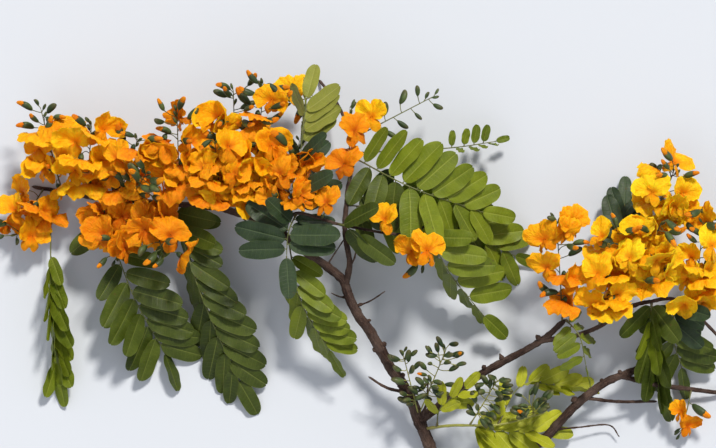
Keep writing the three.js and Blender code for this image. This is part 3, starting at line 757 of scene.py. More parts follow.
def settle(masses):
    """Gives each piece of each mass its place. One that no solid stands for takes its clearest way."""
    standing = []
    for curve in limb_curves.values():
        standing.append(curve.at(np.linspace(0, 1, int(curve.length() / 5))))
    for _, _, _, pieces in masses:
        for piece in pieces:
            if piece.way is not None:
                standing.append(piece.ways[piece.way].place.put(ROOM[piece.kind]))
    standing = np.concatenate(standing)
    settled = []
    for row, curve, chance, pieces in masses:
        placed = []
        for piece in pieces:
            if piece.way is not None:
                placed.append((piece, piece.ways[piece.way]))
                continue
            ways = piece.ways[:NEAR_LIFTS] if piece.kind == "flower" else piece.ways
            way, _ = clearest(piece.kind, ways, standing)
            placed.append((piece, way))
            standing = np.concatenate([standing, way.place.put(ROOM[piece.kind])])
        settled.append((row, curve, chance, placed))
    for row, curve, chance, placed in settled:
        for grow in wanted_besides(row):
            piece = grow(row, curve, chance)
            way, gap = clearest(piece.kind, piece.ways, standing)
            if gap < LEAST_ROOM[piece.kind]:
                continue
            placed.append((piece, way))
            standing = np.concatenate([standing, way.place.put(ROOM[piece.kind])])
    return settled


# Leaflets

ACROSS = np.array([-1, -0.9, -0.72, -0.48, -0.26, -0.07, 0, 0.07, 0.26, 0.48, 0.72, 0.9, 1])
LEAFLET_ROWS = 23
STALKLET = 1.7
STALKLET_RADII = (0.4, 0.5, 0.42, 0.34, 0.14)
BLADE_THICK = 0.3
OFF_GROUND = 0.3

# The sides of the stalks of leaflets, flowers and buds, and of the ribs and stalks that carry them.
FINE_SIDES = 8
STALK_SIDES = 10


def leaflet_rings(length, half, chance):
    """An oblong blade with a blunt tip, folded a little at its midrib. Its rows follow the side veins."""
    row = np.linspace(0, 1, LEAFLET_ROWS)
    rounded = 0.5 - 0.5 * np.cos(np.pi * row)
    share = (0.003 + 0.994 * (0.55 * row + 0.45 * rounded))[:, None]
    u = ACROSS[None]
    slant = 0.22 * share * (1 - share)
    edge = share + slant
    width = half * np.sqrt(1 - np.abs(2 * edge - 1) ** 2.8)
    fold, droop, wave, phase, twist, bend = chance.uniform(
        [0.0, -0.02, 0.2, 0, -0.2, -0.03], [0.17, 0.07, 0.85, 2 * np.pi, 0.2, 0.03])
    x = u * width
    y = STALKLET + (length - STALKLET) * (share + slant * np.abs(u))
    notch = 0.7 * ease(0.97, 1, share) * np.exp(-((u / 0.5) ** 2))
    is_vein = (np.arange(LEAFLET_ROWS) % 2 == 1)[:, None]
    z = fold * np.abs(x) - droop * length * share**2
    z = z + wave * np.abs(u) ** 3 * np.sin(2 * np.pi * 2.2 * share + phase + np.where(u > 0, 1.4, 0))
    z = z - 0.13 * is_vein * (1 - u**4) * ease(0.02, 0.1, share) * ease(1, 0.9, share)
    z = z - 0.3 * np.exp(-((u / 0.07) ** 2))
    turn = twist * (share - 0.2)
    front = np.stack([x * np.cos(turn) + z * np.sin(turn) + bend * length * share**2,
                      y - notch,
                      z * np.cos(turn) - x * np.sin(turn)], axis=2)
    thickness = BLADE_THICK + 0.45 * np.exp(-((u / 0.06) ** 2)) * (1 - 0.6 * share)
    return shell(front, np.broadcast_to(thickness, x.shape)), shell_spots(ACROSS, row)


def off_ground(rings):
    """Bends a blade up from its foot, so that it lies on the ground and doesn't dip into it."""
    dip = OFF_GROUND - rings[..., 2].min()
    if dip <= 0:
        return rings
    share = np.linspace(0, 1, len(rings))[:, None]
    lifted = rings.copy()
    lifted[..., 2] += dip * share * (2 - share) * 1.15
    return lifted


def finish_of(row, curve, way):
    """The finish of a leaflet: its leaf's, or a darker one that paints shade."""
    onward = curve.heading(way.share)
    outward = way.place.axes[1]
    side = 1 if onward[0] * outward[1] > onward[1] * outward[0] else -1
    for darker in SHADED_LEAFLETS.get(row.name, []):
        if darker.start <= way.share <= darker.end and side in darker.sides:
            return darker.finish
    return row.finish


def add_leaf(row, curve, chance, placed, leaflets, ribs):
    """A rib with its leaflets, each on a short stalk of its own."""
    shade = chance.uniform(0.35, 0.65)
    for piece, way in placed:
        here = way.place
        if here.axes[2] @ UP < 0:
            here = Place(here.origin, -here.axes[0], here.axes[1], -here.axes[2])
        rings, spots = leaflet_rings(LEAFLET_LENGTH * piece.size, LEAFLET_WIDTH * piece.size / 2, chance)
        tint = (chance.uniform(), chance.uniform(), shade)
        finish = finish_of(row, curve, way)
        leaflets[finish].add(off_ground(here.put(rings)), spots, tint, row.name, thin=True)
        start = curve.at(way.share)
        end = here.put(np.array([0, STALKLET + 1.2, -0.35]))
        rows = len(STALKLET_RADII)
        path = start + (end - start) * np.linspace(0, 1, rows)[:, None]
        stalklet = tube(path, STALKLET_RADII, FINE_SIDES)
        ribs.add(stalklet, round_spots(rows, FINE_SIDES), (chance.uniform(), 0, shade), row.name)
    steps = max(int(curve.length() / 2), 12)
    t = np.linspace(0, 1, steps + 1)
    away = t * curve.length()
    radii = 0.66 - 0.34 * t + 0.6 * np.exp(-(((away - 2.5) / 2.2) ** 2))
    radii[-1] *= 0.4
    spots = round_spots(steps + 1, STALK_SIDES, t)
    ribs.add(tube(curve.at(t), radii, STALK_SIDES), spots, (chance.uniform(), 0, shade), row.name)


# Flowers

LOBE_ANGLES = np.radians([0, 9, 20, 34, 50, 66, 82, 96, 110])
LOBE_REACH = np.array([12.6, 14.4, 16.0, 17.2, 17.4, 15.9, 13.0, 9.6, 6.6])
FAN = np.radians(np.linspace(-110, 110, 35))
# Painted shade: the next shadier tone, for flowers that hang or lie low under their stalk.
SHADIER_TONE = {"bright": "amber", "amber": "orange", "orange": "deep", "deep": "deep"}
STANDARD_ROWS = np.array([0.07, 0.16, 0.27, 0.39, 0.51, 0.62, 0.73, 0.83, 0.92, 1.0])
PETAL_THICK = 0.3
BLOOM_LARGER = 1.06
CUP_SIDES = 16
CUP_TEETH = 5
KEEL_ROWS = 8
KEEL_SIDES = 10
PEDICEL_ROWS = 8

# What is added to the spots of wings and keel, by which the petal's finish tells them from the standard.
WING_SPOT = [0, 0, 2]
KEEL_SPOT = [0, 0, 4]

# The cup's radius and height from its foot, over the rim and down inside, and how much its teeth rise.
CALYX = [(0.5, 0), (1.1, 0.5), (1.65, 1.2), (2.0, 2.2), (2.15, 3.1, 0.35), (2.25, 3.7, 1), (2.1, 3.75, 1),
         (1.9, 3.0, 0.3), (1.5, 1.9), (0.7, 1.2)]


def crumpled(front, ratio, chance, coarse, fine):
    """A petal's points, pushed about by soft folds and small creases that grow towards its rim."""
    offset = chance.uniform(0, 30, 3)
    folds = np.stack([soft_noise(front / 5.5 + offset + 9 * k) for k in range(3)], axis=2)
    creases = np.stack([soft_noise(front / 2.3 + offset + 9 * k) for k in range(3)], axis=2)
    return front + (folds * [0.5, 0.5, 1] * coarse + creases * fine) * ratio[..., None]


def standard_rings(size, chance, hangs):
    """The broad petal: two round lobes with a notch between, pleated and crimped.

    It rises behind the others, or bends forward over them on a flower that hangs.
    """
    angle = FAN[None]
    ratio = STANDARD_ROWS[:, None]
    phases = chance.uniform(0, 2 * np.pi, 6)
    crimp = chance.uniform(0.005, 0.045) * np.sin(7 * angle + phases[0])
    crimp = crimp + 0.02 * np.sin(16 * angle + phases[1])
    reach = np.interp(np.abs(FAN), LOBE_ANGLES, LOBE_REACH)[None] * (1 + crimp * ratio**2)
    spread, left, right, nod, curl, ruffle = chance.uniform(
        [0.72, -0.15, -0.15, -0.5, -1.8, 0.4], [1.08, 1.15, 1.15, 0.85, 3.4, 1.25])
    if hangs:
        spread, left, right, nod = chance.uniform([0.95, -0.2, -0.2, -1.3], [1.15, 0.2, 0.2, -0.7])
        ruffle = 0.8 * ruffle
    radius = ratio * reach
    x = radius * np.sin(angle) * spread
    y = radius * np.cos(angle)
    hollow = 0.95 - 0.6 * ease(math.radians(55), math.radians(95), np.abs(angle))
    z = 4.6 + 3.4 * ratio - 4.8 * hollow * ratio**2
    z = z + np.where(x < 0, left, right) * np.abs(x) * ratio**1.3 - curl * ratio**5
    waves = np.sin(5.5 * angle + phases[2]) + 0.8 * np.sin(10 * angle + phases[3])
    z = z + ruffle * (waves + 0.75 * np.sin(17 * angle + phases[4])) * ratio**2.2
    z = z + 0.4 * np.sin(27 * angle + phases[5]) * ratio**1.5
    z = z - 0.9 * np.exp(-((x / 0.9) ** 2)) * ratio
    bent = nod * ratio
    front = np.stack([x, y * np.cos(bent), z - y * np.sin(bent)], axis=2)
    front = crumpled(front, np.broadcast_to(ratio, x.shape), chance, 2.1, 1.0) * size
    return shell(front, np.full(x.shape, PETAL_THICK)), shell_spots(FAN / FAN[-1], STANDARD_ROWS)


def wing_rings(side, size, chance):
    """One of the two creased petals that hang forward from the lower half of the cup's mouth."""
    along = np.linspace(0, 1, 10)
    across = np.linspace(-1, 1, 9)
    v = along[:, None]
    u = across[None]
    wide, open_out, cup, wave, phase, fall = chance.uniform(
        [3.5, -0.4, -0.7, 0.2, 0, 7.6], [4.9, 4.6, 1.5, 0.8, 2 * np.pi, 11.6])
    width = wide * np.sqrt(1 - np.abs(2 * (0.06 + 0.92 * v) - 1) ** 2.2) * (0.45 + 0.55 * ease(0, 0.55, v))
    start = np.array([side * 0.7, 0.3, 4.9])
    end = np.array([side * (1.6 + open_out), -fall, chance.uniform(6.5, 11.5)])
    spine = start + (end - start) * v[..., None]
    down = unit(end - start)
    front_way = unit(np.array([side * chance.uniform(0.1, 0.9), 0.5, 0.8]))
    front_way = unit(front_way - down * (front_way @ down))
    over = np.cross(down, front_way)
    bulge = cup * (1 - u**2) * np.sin(np.pi * v) ** 0.7 + 1.1 * np.sin(np.pi * v)
    bulge = bulge + wave * np.abs(u) ** 1.5 * np.sin(11 * v + phase + 2 * u) + 0.3 * side * u
    front = spine + over * (u * width)[..., None] + front_way * bulge[..., None]
    front = crumpled(front, np.broadcast_to(v, bulge.shape), chance, 1.5, 0.7) * size
    return shell(front, np.full(bulge.shape, PETAL_THICK)), shell_spots(across, along)


def keel_rings(size):
    """The small boat of petals between the wings."""
    along = np.linspace(0, 1, KEEL_ROWS)
    height = 4.2 + 4.0 * along + 1.1 * np.sin(np.pi * along)
    path = np.stack([np.zeros(KEEL_ROWS), 0.6 - 7.6 * along, height], axis=1)
    radii = 0.5 + 1.0 * np.sin(np.pi * (0.06 + 0.9 * along)) ** 0.8
    rings = tube(path, radii, KEEL_SIDES)
    rings[..., 0] *= 0.7
    return rings * size, round_spots(KEEL_ROWS, KEEL_SIDES)


def add_flower(piece, way, row, curve, chance, petals, calyxes, stalks):
    """A flower: its stalk, toothed cup, standard, two wings and keel."""
    tint = (chance.uniform(), chance.uniform(), 0.5)
    put = way.place.put
    size = piece.size * BLOOM_LARGER * SMALLER_FLOWERS.get(row.name, 1)
    rings, spots = standard_rings(size, chance, piece.kind == "hanging")
    petals.add(put(rings), spots, tint, row.name, thin=True)
    for side in (-1, 1):
        rings, spots = wing_rings(side, size, chance)
        petals.add(put(rings), spots + WING_SPOT, (tint[0], chance.uniform(), 0.5), row.name, thin=True)
    rings, spots = keel_rings(size)
    petals.add(put(rings), spots + KEEL_SPOT, tint, row.name)
    cup = turned(CALYX, CUP_SIDES, stretch=0.9, teeth=CUP_TEETH) * size
    calyxes.add(put(cup), round_spots(len(CALYX), CUP_SIDES), (chance.uniform(), 0, 0), row.name)
    add_pedicel(curve.at(way.share), way.place.origin, way.place.axes[2], stalks, row.name, chance)


def add_pedicel(start, end, onward, stalks, node, chance):
    """The thin stalk of a flower or bud, which bends into its direction."""
    reach = np.linalg.norm(end - start)
    path = Curve([start, start + (end - start) * 0.55 - onward * reach * 0.12, end + onward * 0.3])
    t = np.linspace(0, 1, PEDICEL_ROWS)
    radii = 0.34 + 0.16 * np.exp(-((t / 0.1) ** 2)) + 0.14 * ease(0.75, 1, t)
    spots = round_spots(PEDICEL_ROWS, FINE_SIDES)
    stalks.add(tube(path.at(t), radii, FINE_SIDES), spots, (chance.uniform(), 0, 0.5), node)


# Buds

BUD_LONG = 1.6
BUD_STOUT = 1.4
BUD_SIDES = 16

# Shares of a bud's radius and length from its foot on, and how much its cup's teeth rise there.
BUD_CALYX = [(0.16, 0.0), (0.42, 0.04), (0.66, 0.12), (0.86, 0.24), (0.98, 0.38), (1.0, 0.5),
             (0.94, 0.62, 0.6), (0.84, 0.7, 1), (0.76, 0.69, 0.9), (0.7, 0.6), (0.3, 0.55)]
BUD_CLOSED = [(0.16, 0.0), (0.42, 0.04), (0.66, 0.12), (0.88, 0.24), (1.0, 0.4), (1.0, 0.52), (0.9, 0.66),
              (0.7, 0.77), (0.42, 0.85), (0.12, 0.88)]
BUD_TIP = [(0.3, 0.55), (0.7, 0.6), (0.78, 0.71), (0.75, 0.84), (0.62, 0.95), (0.42, 1.03), (0.13, 1.07)]

# The clusters of young buds, and all those whose buds are smaller and mostly closed.
YOUNG_BUDS = ("buds_low", "buds_low_right", "buds_shoot", "buds_shoot_end")
CLOSED_BUDS = (*YOUNG_BUDS, "spray_upper_right")

# The shares of buds that show their petals, and where along a spray's stalk its small end buds sit.
TIPS_SHOW = 0.8
YOUNG_TIPS_SHOW = 0.1
END_BUDS = (0.9, 0.96, 1.0)


def bud_skin(profile, length, radius, bow, teeth):
    """A round skin from shares of the bud's radius and length, bowed like a club."""
    scaled = [(r * radius, h * length, *toothed) for r, h, *toothed in profile]
    rings = turned(scaled, BUD_SIDES, stretch=0.07 * length if teeth else 0, teeth=teeth)
    share = rings[..., 2] / length
    rings[..., 0] += bow * length * 4 * share * (1 - share)
    rings[..., 1] *= 0.86
    return rings


def add_bud(place, size, node, chance, calyxes, tips=None):
    """A club-shaped green bud. With tips, its folded petals show at the end. Without, it is closed."""
    spin = chance.uniform(0, 2 * np.pi)
    x, y, onward = place.axes
    spun_x = x * math.cos(spin) + y * math.sin(spin)
    spun_y = y * math.cos(spin) - x * math.sin(spin)
    here = Place(place.origin, spun_x, spun_y, onward)
    length = BUD_LENGTH * BUD_LONG * size
    radius = BUD_RADIUS * BUD_STOUT * size
    bow = chance.uniform(0.03, 0.12)
    tint = (chance.uniform(), chance.uniform(), 1)
    profile = BUD_CALYX if tips is not None else BUD_CLOSED
    rings = bud_skin(profile, length, radius, bow, CUP_TEETH if tips is not None else 0)
    calyxes.add(here.put(rings), round_spots(len(profile), BUD_SIDES), tint, node)
    if tips is not None:
        rings = bud_skin(BUD_TIP, length, radius, bow, 0)
        tips.add(here.put(rings), round_spots(len(BUD_TIP), BUD_SIDES), tint, node)


def add_spray(row, curve, chance, placed, petals, calyxes, stalks, tips):
    """A stalk with its flowers and buds, and a few small green buds near its end."""
    is_young = row.name in CLOSED_BUDS
    for piece, way in placed:
        origin = way.place.origin
        if piece.kind in ("flower", "hanging"):
            # Painted shade: a hanging flower, and an added flower that lies lower than its stalk, take the
            # next shadier tone.
            lies_low_in_shade = piece.way is None and origin[2] < curve.at(way.share)[2]
            tone = SHADIER_TONE[row.tone] if lies_low_in_shade or piece.kind == "hanging" else row.tone
            add_flower(piece, way, row, curve, chance, petals[tone], calyxes, stalks)
            continue
        add_pedicel(curve.at(way.share), origin, way.place.axes[2], stalks, row.name, chance)
        size = piece.size * (chance.uniform(0.66, 0.88) if is_young else 1)
        shows_tip = chance.uniform() < (YOUNG_TIPS_SHOW if is_young else TIPS_SHOW)
        add_bud(way.place, size, row.name, chance, calyxes, tips if shows_tip else None)
    if len(row.order) > 1:
        for share in END_BUDS:
            along = curve.heading(share)
            level = unit(np.cross(UP, along)) * chance.choice([-1, 1])
            onward = unit(level * chance.uniform(0.2, 0.8) + along * 0.8 + UP * chance.uniform(0.1, 0.5))
            start = curve.at(share)
            base = start + onward * chance.uniform(1.2, 3.0)
            add_pedicel(start, base, onward, stalks, row.name, chance)
            add_bud(bud_place(base, onward), chance.uniform(0.32, 0.5), row.name, chance, calyxes)
    steps = max(int(curve.length() / 2), 8)
    t = np.linspace(0, 1, steps + 1)
    radii = 0.62 - 0.27 * t + 0.35 * np.exp(-(((t * curve.length() - 3) / 2.5) ** 2))
    radii[-1] *= 0.4
    spots = round_spots(steps + 1, STALK_SIDES, t)
    stalks.add(tube(curve.at(t), radii, STALK_SIDES), spots, (chance.uniform(), 0, 0.5), row.name)


# Boughs

RING_STEP = 1.35
TWIG_RING_STEP = 1.1
TWIG_SIDES = 12
SHOOT_SIDES = 24
SHOOT_RELIEF = 0.3
CUT_SIDES = 40
CUT_THICK = 0.9
LIMB_ROWS = {row.name: row for row in LIMBS}
BOUGHS = [
    ("main_stem", "left_bough", "left_bough_end"), ("upper_bough", "upper_bough_end"), ("centre_twig",),
    ("right_bough",), ("right_twig",), ("right_edge_twig",), ("lower_bough",), ("lower_bough_fork",),
    ("lower_twig",), ("young_shoot",), ("broken_stub",),
]


def eased(values, reach):
    """Values along a line, evened out over some steps, with both ends kept."""
    steps = np.arange(-3 * reach, 3 * reach + 1)
    weights = np.exp(-0.5 * (steps / reach) ** 2)
    weights /= weights.sum()
    ends = [(3 * reach, 3 * reach)] + [(0, 0)] * (values.ndim - 1)
    longer = np.pad(values, ends, mode="reflect", reflect_type="odd")
    return sum(weight * longer[i:i + len(values)] for i, weight in enumerate(weights))


def bough_line(names):
    """The centre line and radii of limbs that run on one from another."""
    points = []
    radii = []
    for name in names:
        curve = limb_curves[name]
        t = np.linspace(0, 1, int(curve.length() / RING_STEP) + 1)[1 if points else 0:]
        first, last = LIMB_ROWS[name].radii
        points.append(curve.at(t))
        radii.append(first + (last - first) * t)
    points = np.concatenate(points)
    radii = np.concatenate(radii)
    return (eased(points, 4), eased(radii, 7)) if len(names) > 1 else (points, radii)


def bark_spots(radii, away, sides):
    """For each point of a limb, its place on an even straight one, so that the grain runs along it."""
    turn = np.linspace(0, 2 * np.pi, sides, endpoint=False)[None]
    return np.stack([radii[:, None] * np.cos(turn), radii[:, None] * np.sin(turn),
                     np.broadcast_to(away[:, None], (len(away), sides))], axis=2)


def bough_rings(names, sides, chance, relief):
    """A bough's bark: swollen at its foot and its nodes, furrowed along its length, with small knobs."""
    line, base = bough_line(names)
    away = np.concatenate([[0], np.linalg.norm(np.diff(line, axis=0), axis=1).cumsum()])
    length = away[-1]
    radii = base.copy()
    if LIMB_ROWS[names[0]].on:
        radii *= 1 + 0.3 * np.exp(-away / (2.0 * base[0]))
    node = chance.uniform(4, 16)
    while node < length - 4:
        swell, width = chance.uniform([0.03, 1.0], [0.15, 1.8])
        radii += base * swell * np.exp(-(((away - node) / (width * 1.6)) ** 2))
        node += chance.uniform(10, 26)
    point = 3 * base[-1]
    tip = np.clip((away - length + point) / point, 0, 0.985)
    radii *= np.sqrt(1 - tip**2)
    offset = chance.uniform(0, 30, 3)
    rim = bark_spots(base, away, sides)
    furrows = soft_noise(rim * [1.1, 1.1, 0.16] + offset)
    flakes = soft_noise(rim * [0.55, 0.55, 0.33] + offset + 7)
    grit = soft_noise(rim * [1.6, 1.6, 1.2] + offset + 13)
    knobs = np.maximum(soft_noise(rim * [0.4, 0.4, 0.5] + offset + 21) - 0.35, 0)
    bumps = 0.55 * np.abs(furrows) - 0.3 + 0.35 * flakes + 0.2 * grit + 1.3 * knobs
    bumps = relief * bumps * (0.25 + 0.12 * base[:, None])
    bumps = bumps * np.sqrt(1 - tip[:, None] ** 2)
    wander = np.stack([soft_noise(np.stack([away / 17 + k * 9, away * 0 + offset[k], away * 0], axis=1))
                       for k in range(3)], axis=1)
    centre = line + 0.25 * base[:, None] * wander * ease(0, 12, away)[:, None]
    return tube(centre, radii[:, None] + bumps, sides), rim


def bark_sides(limb):
    """How many sides the bark of a limb has: an even number, and more for a thicker limb."""
    return int(np.clip(18 + 7 * limb.radii[0], 26, 56) // 2 * 2)


def add_twig(twig, bark):
    """A short dry twig or the stump of one, with a knob where it leaves its limb."""
    chance = np.random.default_rng(TWIG_SEED + int(twig.start[0]))
    curve = limb_curves[twig.on]
    start = curve.nearest(twig.start)
    path = Curve([start, *(place((x, y, start[2] + lift)) for x, y, lift in twig.path)])
    steps = max(int(path.length() / TWIG_RING_STEP), 7)
    t = np.linspace(0, 1, steps)
    away = t * path.length()
    limb = LIMB_ROWS[twig.on].radii[0]
    radii = twig.radius * (1 - 0.4 * t) * (1 + 0.1 * np.sin(away / 1.4 + chance.uniform(0, 6)))
    radii = radii + 0.8 * twig.radius * np.exp(-(((away - limb) / (0.4 * limb)) ** 2))
    radii[-1] *= 0.6
    rim = bark_spots(radii, away, TWIG_SIDES)
    uneven = 0.16 * twig.radius * soft_noise(rim * 0.9 + chance.uniform(0, 30, 3))
    bark.add(tube(path.at(t), radii[:, None] + uneven, TWIG_SIDES), rim, (chance.uniform(), 0, 0), twig.on)


def cut_face(curve, radius):
    """The sawn end of the main stem: a thin disc with a slightly crowned face."""
    start, inner = curve.at([0, 0.004])
    axis = unit(start - inner)
    x = unit(np.cross(UP, axis))
    here = Place(start - axis * CUT_THICK, x, np.cross(axis, x), axis)
    profile = [(0.96, 0), (1.0, 0.5), (0.985, 0.75), (0.93, 0.84), (0.8, 0.86), (0.6, 0.85), (0.4, 0.87),
               (0.22, 0.86), (0.1, 0.82), (0.03, 0.8)]
    rings = turned([(share * radius, height) for share, height in profile], CUT_SIDES)
    turn = np.linspace(0, 2 * np.pi, CUT_SIDES, endpoint=False)
    rings[..., :2] *= (1 + 0.012 * np.sin(5 * turn))[None, :, None]
    return here.put(rings), rings / radius


# Materials


def new_group(name, inputs, outputs):
    """An empty group with named inputs (name, value) and outputs (name, kind)."""
    group = bpy.data.node_groups.new(name, "ShaderNodeTree")
    for label, value in inputs:
        socket = group.interface.new_socket(name=label, in_out="INPUT", socket_type="NodeSocketFloat")
        socket.default_value = value
    for label in outputs:
        group.interface.new_socket(name=label, in_out="OUTPUT", socket_type="NodeSocketFloat")
    return group, group.nodes.new("NodeGroupInput").outputs, group.nodes.new("NodeGroupOutput").inputs


def add_node(tree, kind, inputs=None, **settings):
    """Adds a node. Its inputs are values or the sockets that feed them."""
    node = tree.nodes.new(kind)
    for key, value in settings.items():
        setattr(node, key, value)
    for key, value in (inputs or {}).items():
        if isinstance(value, bpy.types.NodeSocket):
            tree.links.new(value, node.inputs[key])
        else:
            node.inputs[key].default_value = value
    return node


def math_node(tree, operation, a, b=0.0, c=0.0):
    """One Math node."""
    return add_node(tree, "ShaderNodeMath", {0: a, 1: b, 2: c}, operation=operation).outputs[0]


def times(tree, value, weight):
    """A value multiplied by a weight."""
    return math_node(tree, "MULTIPLY", value, weight)


def weighted(tree, value, weight, rest):
    """A value multiplied by a weight, added to the rest."""
    return math_node(tree, "MULTIPLY_ADD", value, weight, rest)


def rise(tree, value, low, high):
    """A smooth rise from 0 to 1 as a value goes from low to high."""
    node = add_node(tree, "ShaderNodeMapRange", {"Value": value, "From Min": low, "From Max": high},
                    interpolation_type="SMOOTHSTEP")
    return node.outputs["Result"]


def blend(tree, factor, first, second):
    """A mix of two colours."""
    return add_node(tree, "ShaderNodeMix", {0: factor, 6: first, 7: second}, data_type="RGBA").outputs[2]


def colour(red, green, blue, share=1.0):
    """A socket's colour, or a darker share of it."""
    return (share * red, share * green, share * blue, 1.0)


def stretched(tree, vector, factors):
    """A vector with each of its axes multiplied by its own factor."""
    return add_node(tree, "ShaderNodeVectorMath", {0: vector, 1: factors}, operation="MULTIPLY").outputs[0]


def attribute_axes(tree, name):
    """The three numbers that each point of a piece carries under a name."""
    node = add_node(tree, "ShaderNodeAttribute", attribute_type="GEOMETRY", attribute_name=name)
    axes = add_node(tree, "ShaderNodeSeparateXYZ", {0: node.outputs["Vector"]})
    return node.outputs["Vector"], axes.outputs[0], axes.outputs[1], axes.outputs[2]


def noise(tree, vector, scale, detail, **inputs):
    """Soft noise of a vector."""
    inputs = {"Vector": vector, "Scale": scale, "Detail": detail, **inputs}
    return add_node(tree, "ShaderNodeTexNoise", inputs).outputs["Fac"]


def object_noise(tree, scale, detail):
    """Noise through the whole branch, with this many waves to the metre."""
    return noise(tree, add_node(tree, "ShaderNodeTexCoord").outputs["Object"], scale, detail)


def fine_mottle_group():
    """Soft patches and small specks, and their height."""
    tree, given, out = new_group("Fine Mottle", [("Patch Scale", 60), ("Speck Scale", 900)],
                                 ["Patches", "Specks", "Height"])
    patches = rise(tree, object_noise(tree, given["Patch Scale"], 3), 0.35, 0.68)
    specks = rise(tree, object_noise(tree, given["Speck Scale"], 2), 0.4, 0.72)
    height = weighted(tree, specks, 0.6, patches)
    tree.links.new(patches, out["Patches"])
    tree.links.new(specks, out["Specks"])
    tree.links.new(height, out["Height"])
    return tree


def vein_lines_group():
    """A leaflet's midrib, side veins, net of small veins and rim, and 1 on its underside."""
    tree, given, out = new_group("Vein Lines", [("Pairs", 13)],
                                 ["Midrib", "Side Veins", "Net", "Rim", "Underside", "Blemishes"])
    spot, across, along, back = attribute_axes(tree, "spot")
    aside = math_node(tree, "ABSOLUTE", across)
    count = times(tree, along, given["Pairs"])
    saw = math_node(tree, "PINGPONG", math_node(tree, "ADD", count, 0.5), 0.5)
    lines = rise(tree, saw, 0.13, 0.0)
    fading = rise(tree, aside, 0.98, 0.5)
    net = {"Vector": stretched(tree, spot, (5.0, 22.0, 0.0)), "Scale": 1.6}
    cells = add_node(tree, "ShaderNodeTexVoronoi", net, feature="DISTANCE_TO_EDGE")
    tree.links.new(rise(tree, aside, 0.07, 0.015), out["Midrib"])
    tree.links.new(times(tree, lines, fading), out["Side Veins"])
    tree.links.new(rise(tree, cells.outputs["Distance"], 0.12, 0.0), out["Net"])
    tree.links.new(rise(tree, aside, 0.93, 1.0), out["Rim"])
    tree.links.new(back, out["Underside"])
    where = add_node(tree, "ShaderNodeTexCoord").outputs["Object"]
    flecks = add_node(tree, "ShaderNodeTexVoronoi", {"Vector": where, "Scale": 150.0})
    rare = rise(tree, object_noise(tree, 55, 2), 0.55, 0.65)
    near = rise(tree, flecks.outputs["Distance"], 0.2, 0.1)
    tree.links.new(times(tree, near, rare), out["Blemishes"])
    return tree


def petal_veins_group():
    """A petal's fine veins, its throat, its crimped rim, and 1 on the wings and keel."""
    tree, given, out = new_group("Petal Veins", [("Veins", 34)],
                                 ["Veins", "Throat", "Rim", "Lower", "Crinkles"])
    spot, across, along, kind = attribute_axes(tree, "spot")
    bent = weighted(tree, object_noise(tree, 260, 2), 0.16, across)
    fan = math_node(tree, "SINE", times(tree, bent, given["Veins"]))
    tree.links.new(rise(tree, fan, 0.2, 1.0), out["Veins"])
    tree.links.new(rise(tree, along, 0.5, 0.08), out["Throat"])
    tree.links.new(rise(tree, along, 0.84, 1.0), out["Rim"])
    tree.links.new(rise(tree, kind, 1.2, 1.8), out["Lower"])
    folds = noise(tree, stretched(tree, spot, (13.0, 3.0, 0.5)), 1.0, 2.0, Distortion=0.6)
    creases = weighted(tree, object_noise(tree, 420, 2), 0.6, folds)
    tree.links.new(times(tree, creases, rise(tree, along, 0.1, 0.7)), out["Crinkles"])
    return tree


def bark_grain_group():
    """Long furrows, small pale pores and weathered patches on bark, and their height."""
    tree, given, out = new_group("Bark Grain", [("Fineness", 1.0)],
                                 ["Furrows", "Pores", "Weathered", "Height"])
    spot = attribute_axes(tree, "spot")[0]
    scale = add_node(tree, "ShaderNodeVectorMath", {0: spot, 3: given["Fineness"]}, operation="SCALE")
    sized = scale.outputs[0]
    short = stretched(tree, sized, (0.5, 0.5, 0.8))
    furrow = noise(tree, stretched(tree, sized, (1.0, 1.0, 0.14)), 1.5, 5.0, Roughness=0.62)
    pore = add_node(tree, "ShaderNodeTexVoronoi", {"Vector": short, "Scale": 0.75})
    patch = noise(tree, sized, 0.12, 4.0, Roughness=0.65)
    furrows = rise(tree, furrow, 0.36, 0.62)
    pores = rise(tree, pore.outputs["Distance"], 0.2, 0.1)
    height = weighted(tree, pores, 0.4, furrows)
    tree.links.new(furrows, out["Furrows"])
    tree.links.new(pores, out["Pores"])
    tree.links.new(rise(tree, patch, 0.46, 0.62), out["Weathered"])
    tree.links.new(height, out["Height"])
    return tree


GROUPS = {
    "mottle": fine_mottle_group(),
    "veins": vein_lines_group(),
    "petal": petal_veins_group(),
    "bark": bark_grain_group(),
}


def new_material(name):
    """A material with its shader, ready for the nodes that feed it."""
    material = bpy.data.materials.new(name)
    material.use_nodes = True
    tree = material.node_tree
    return material, tree, tree.nodes["Principled BSDF"]


def use_group(tree, key, **values):
    """Places a shared group with its own values."""
    inputs = {label.replace("_", " "): value for label, value in values.items()}
    node = add_node(tree, "ShaderNodeGroup", node_tree=GROUPS[key])
    for label, value in inputs.items():
        node.inputs[label].default_value = value
    return node.outputs


def finish_surface(tree, shader, base, rough, height, depth, strength=0.5):
    """Feeds a shader its colour, roughness and the normal of its relief."""
    relief = {"Height": height, "Distance": depth * METRES, "Strength": strength}
    bump = add_node(tree, "ShaderNodeBump", relief)
    tree.links.new(base, shader.inputs["Base Color"])
    tree.links.new(rough, shader.inputs["Roughness"])
    tree.links.new(bump.outputs["Normal"], shader.inputs["Normal"])


def let_light_through(shader, share, tone, depth):
    """Thin petals and blades glow a little where the light falls on their other side."""
    shader.inputs["Subsurface Weight"].default_value = share
    shader.inputs["Subsurface Radius"].default_value = tone
    shader.inputs["Subsurface Scale"].default_value = depth


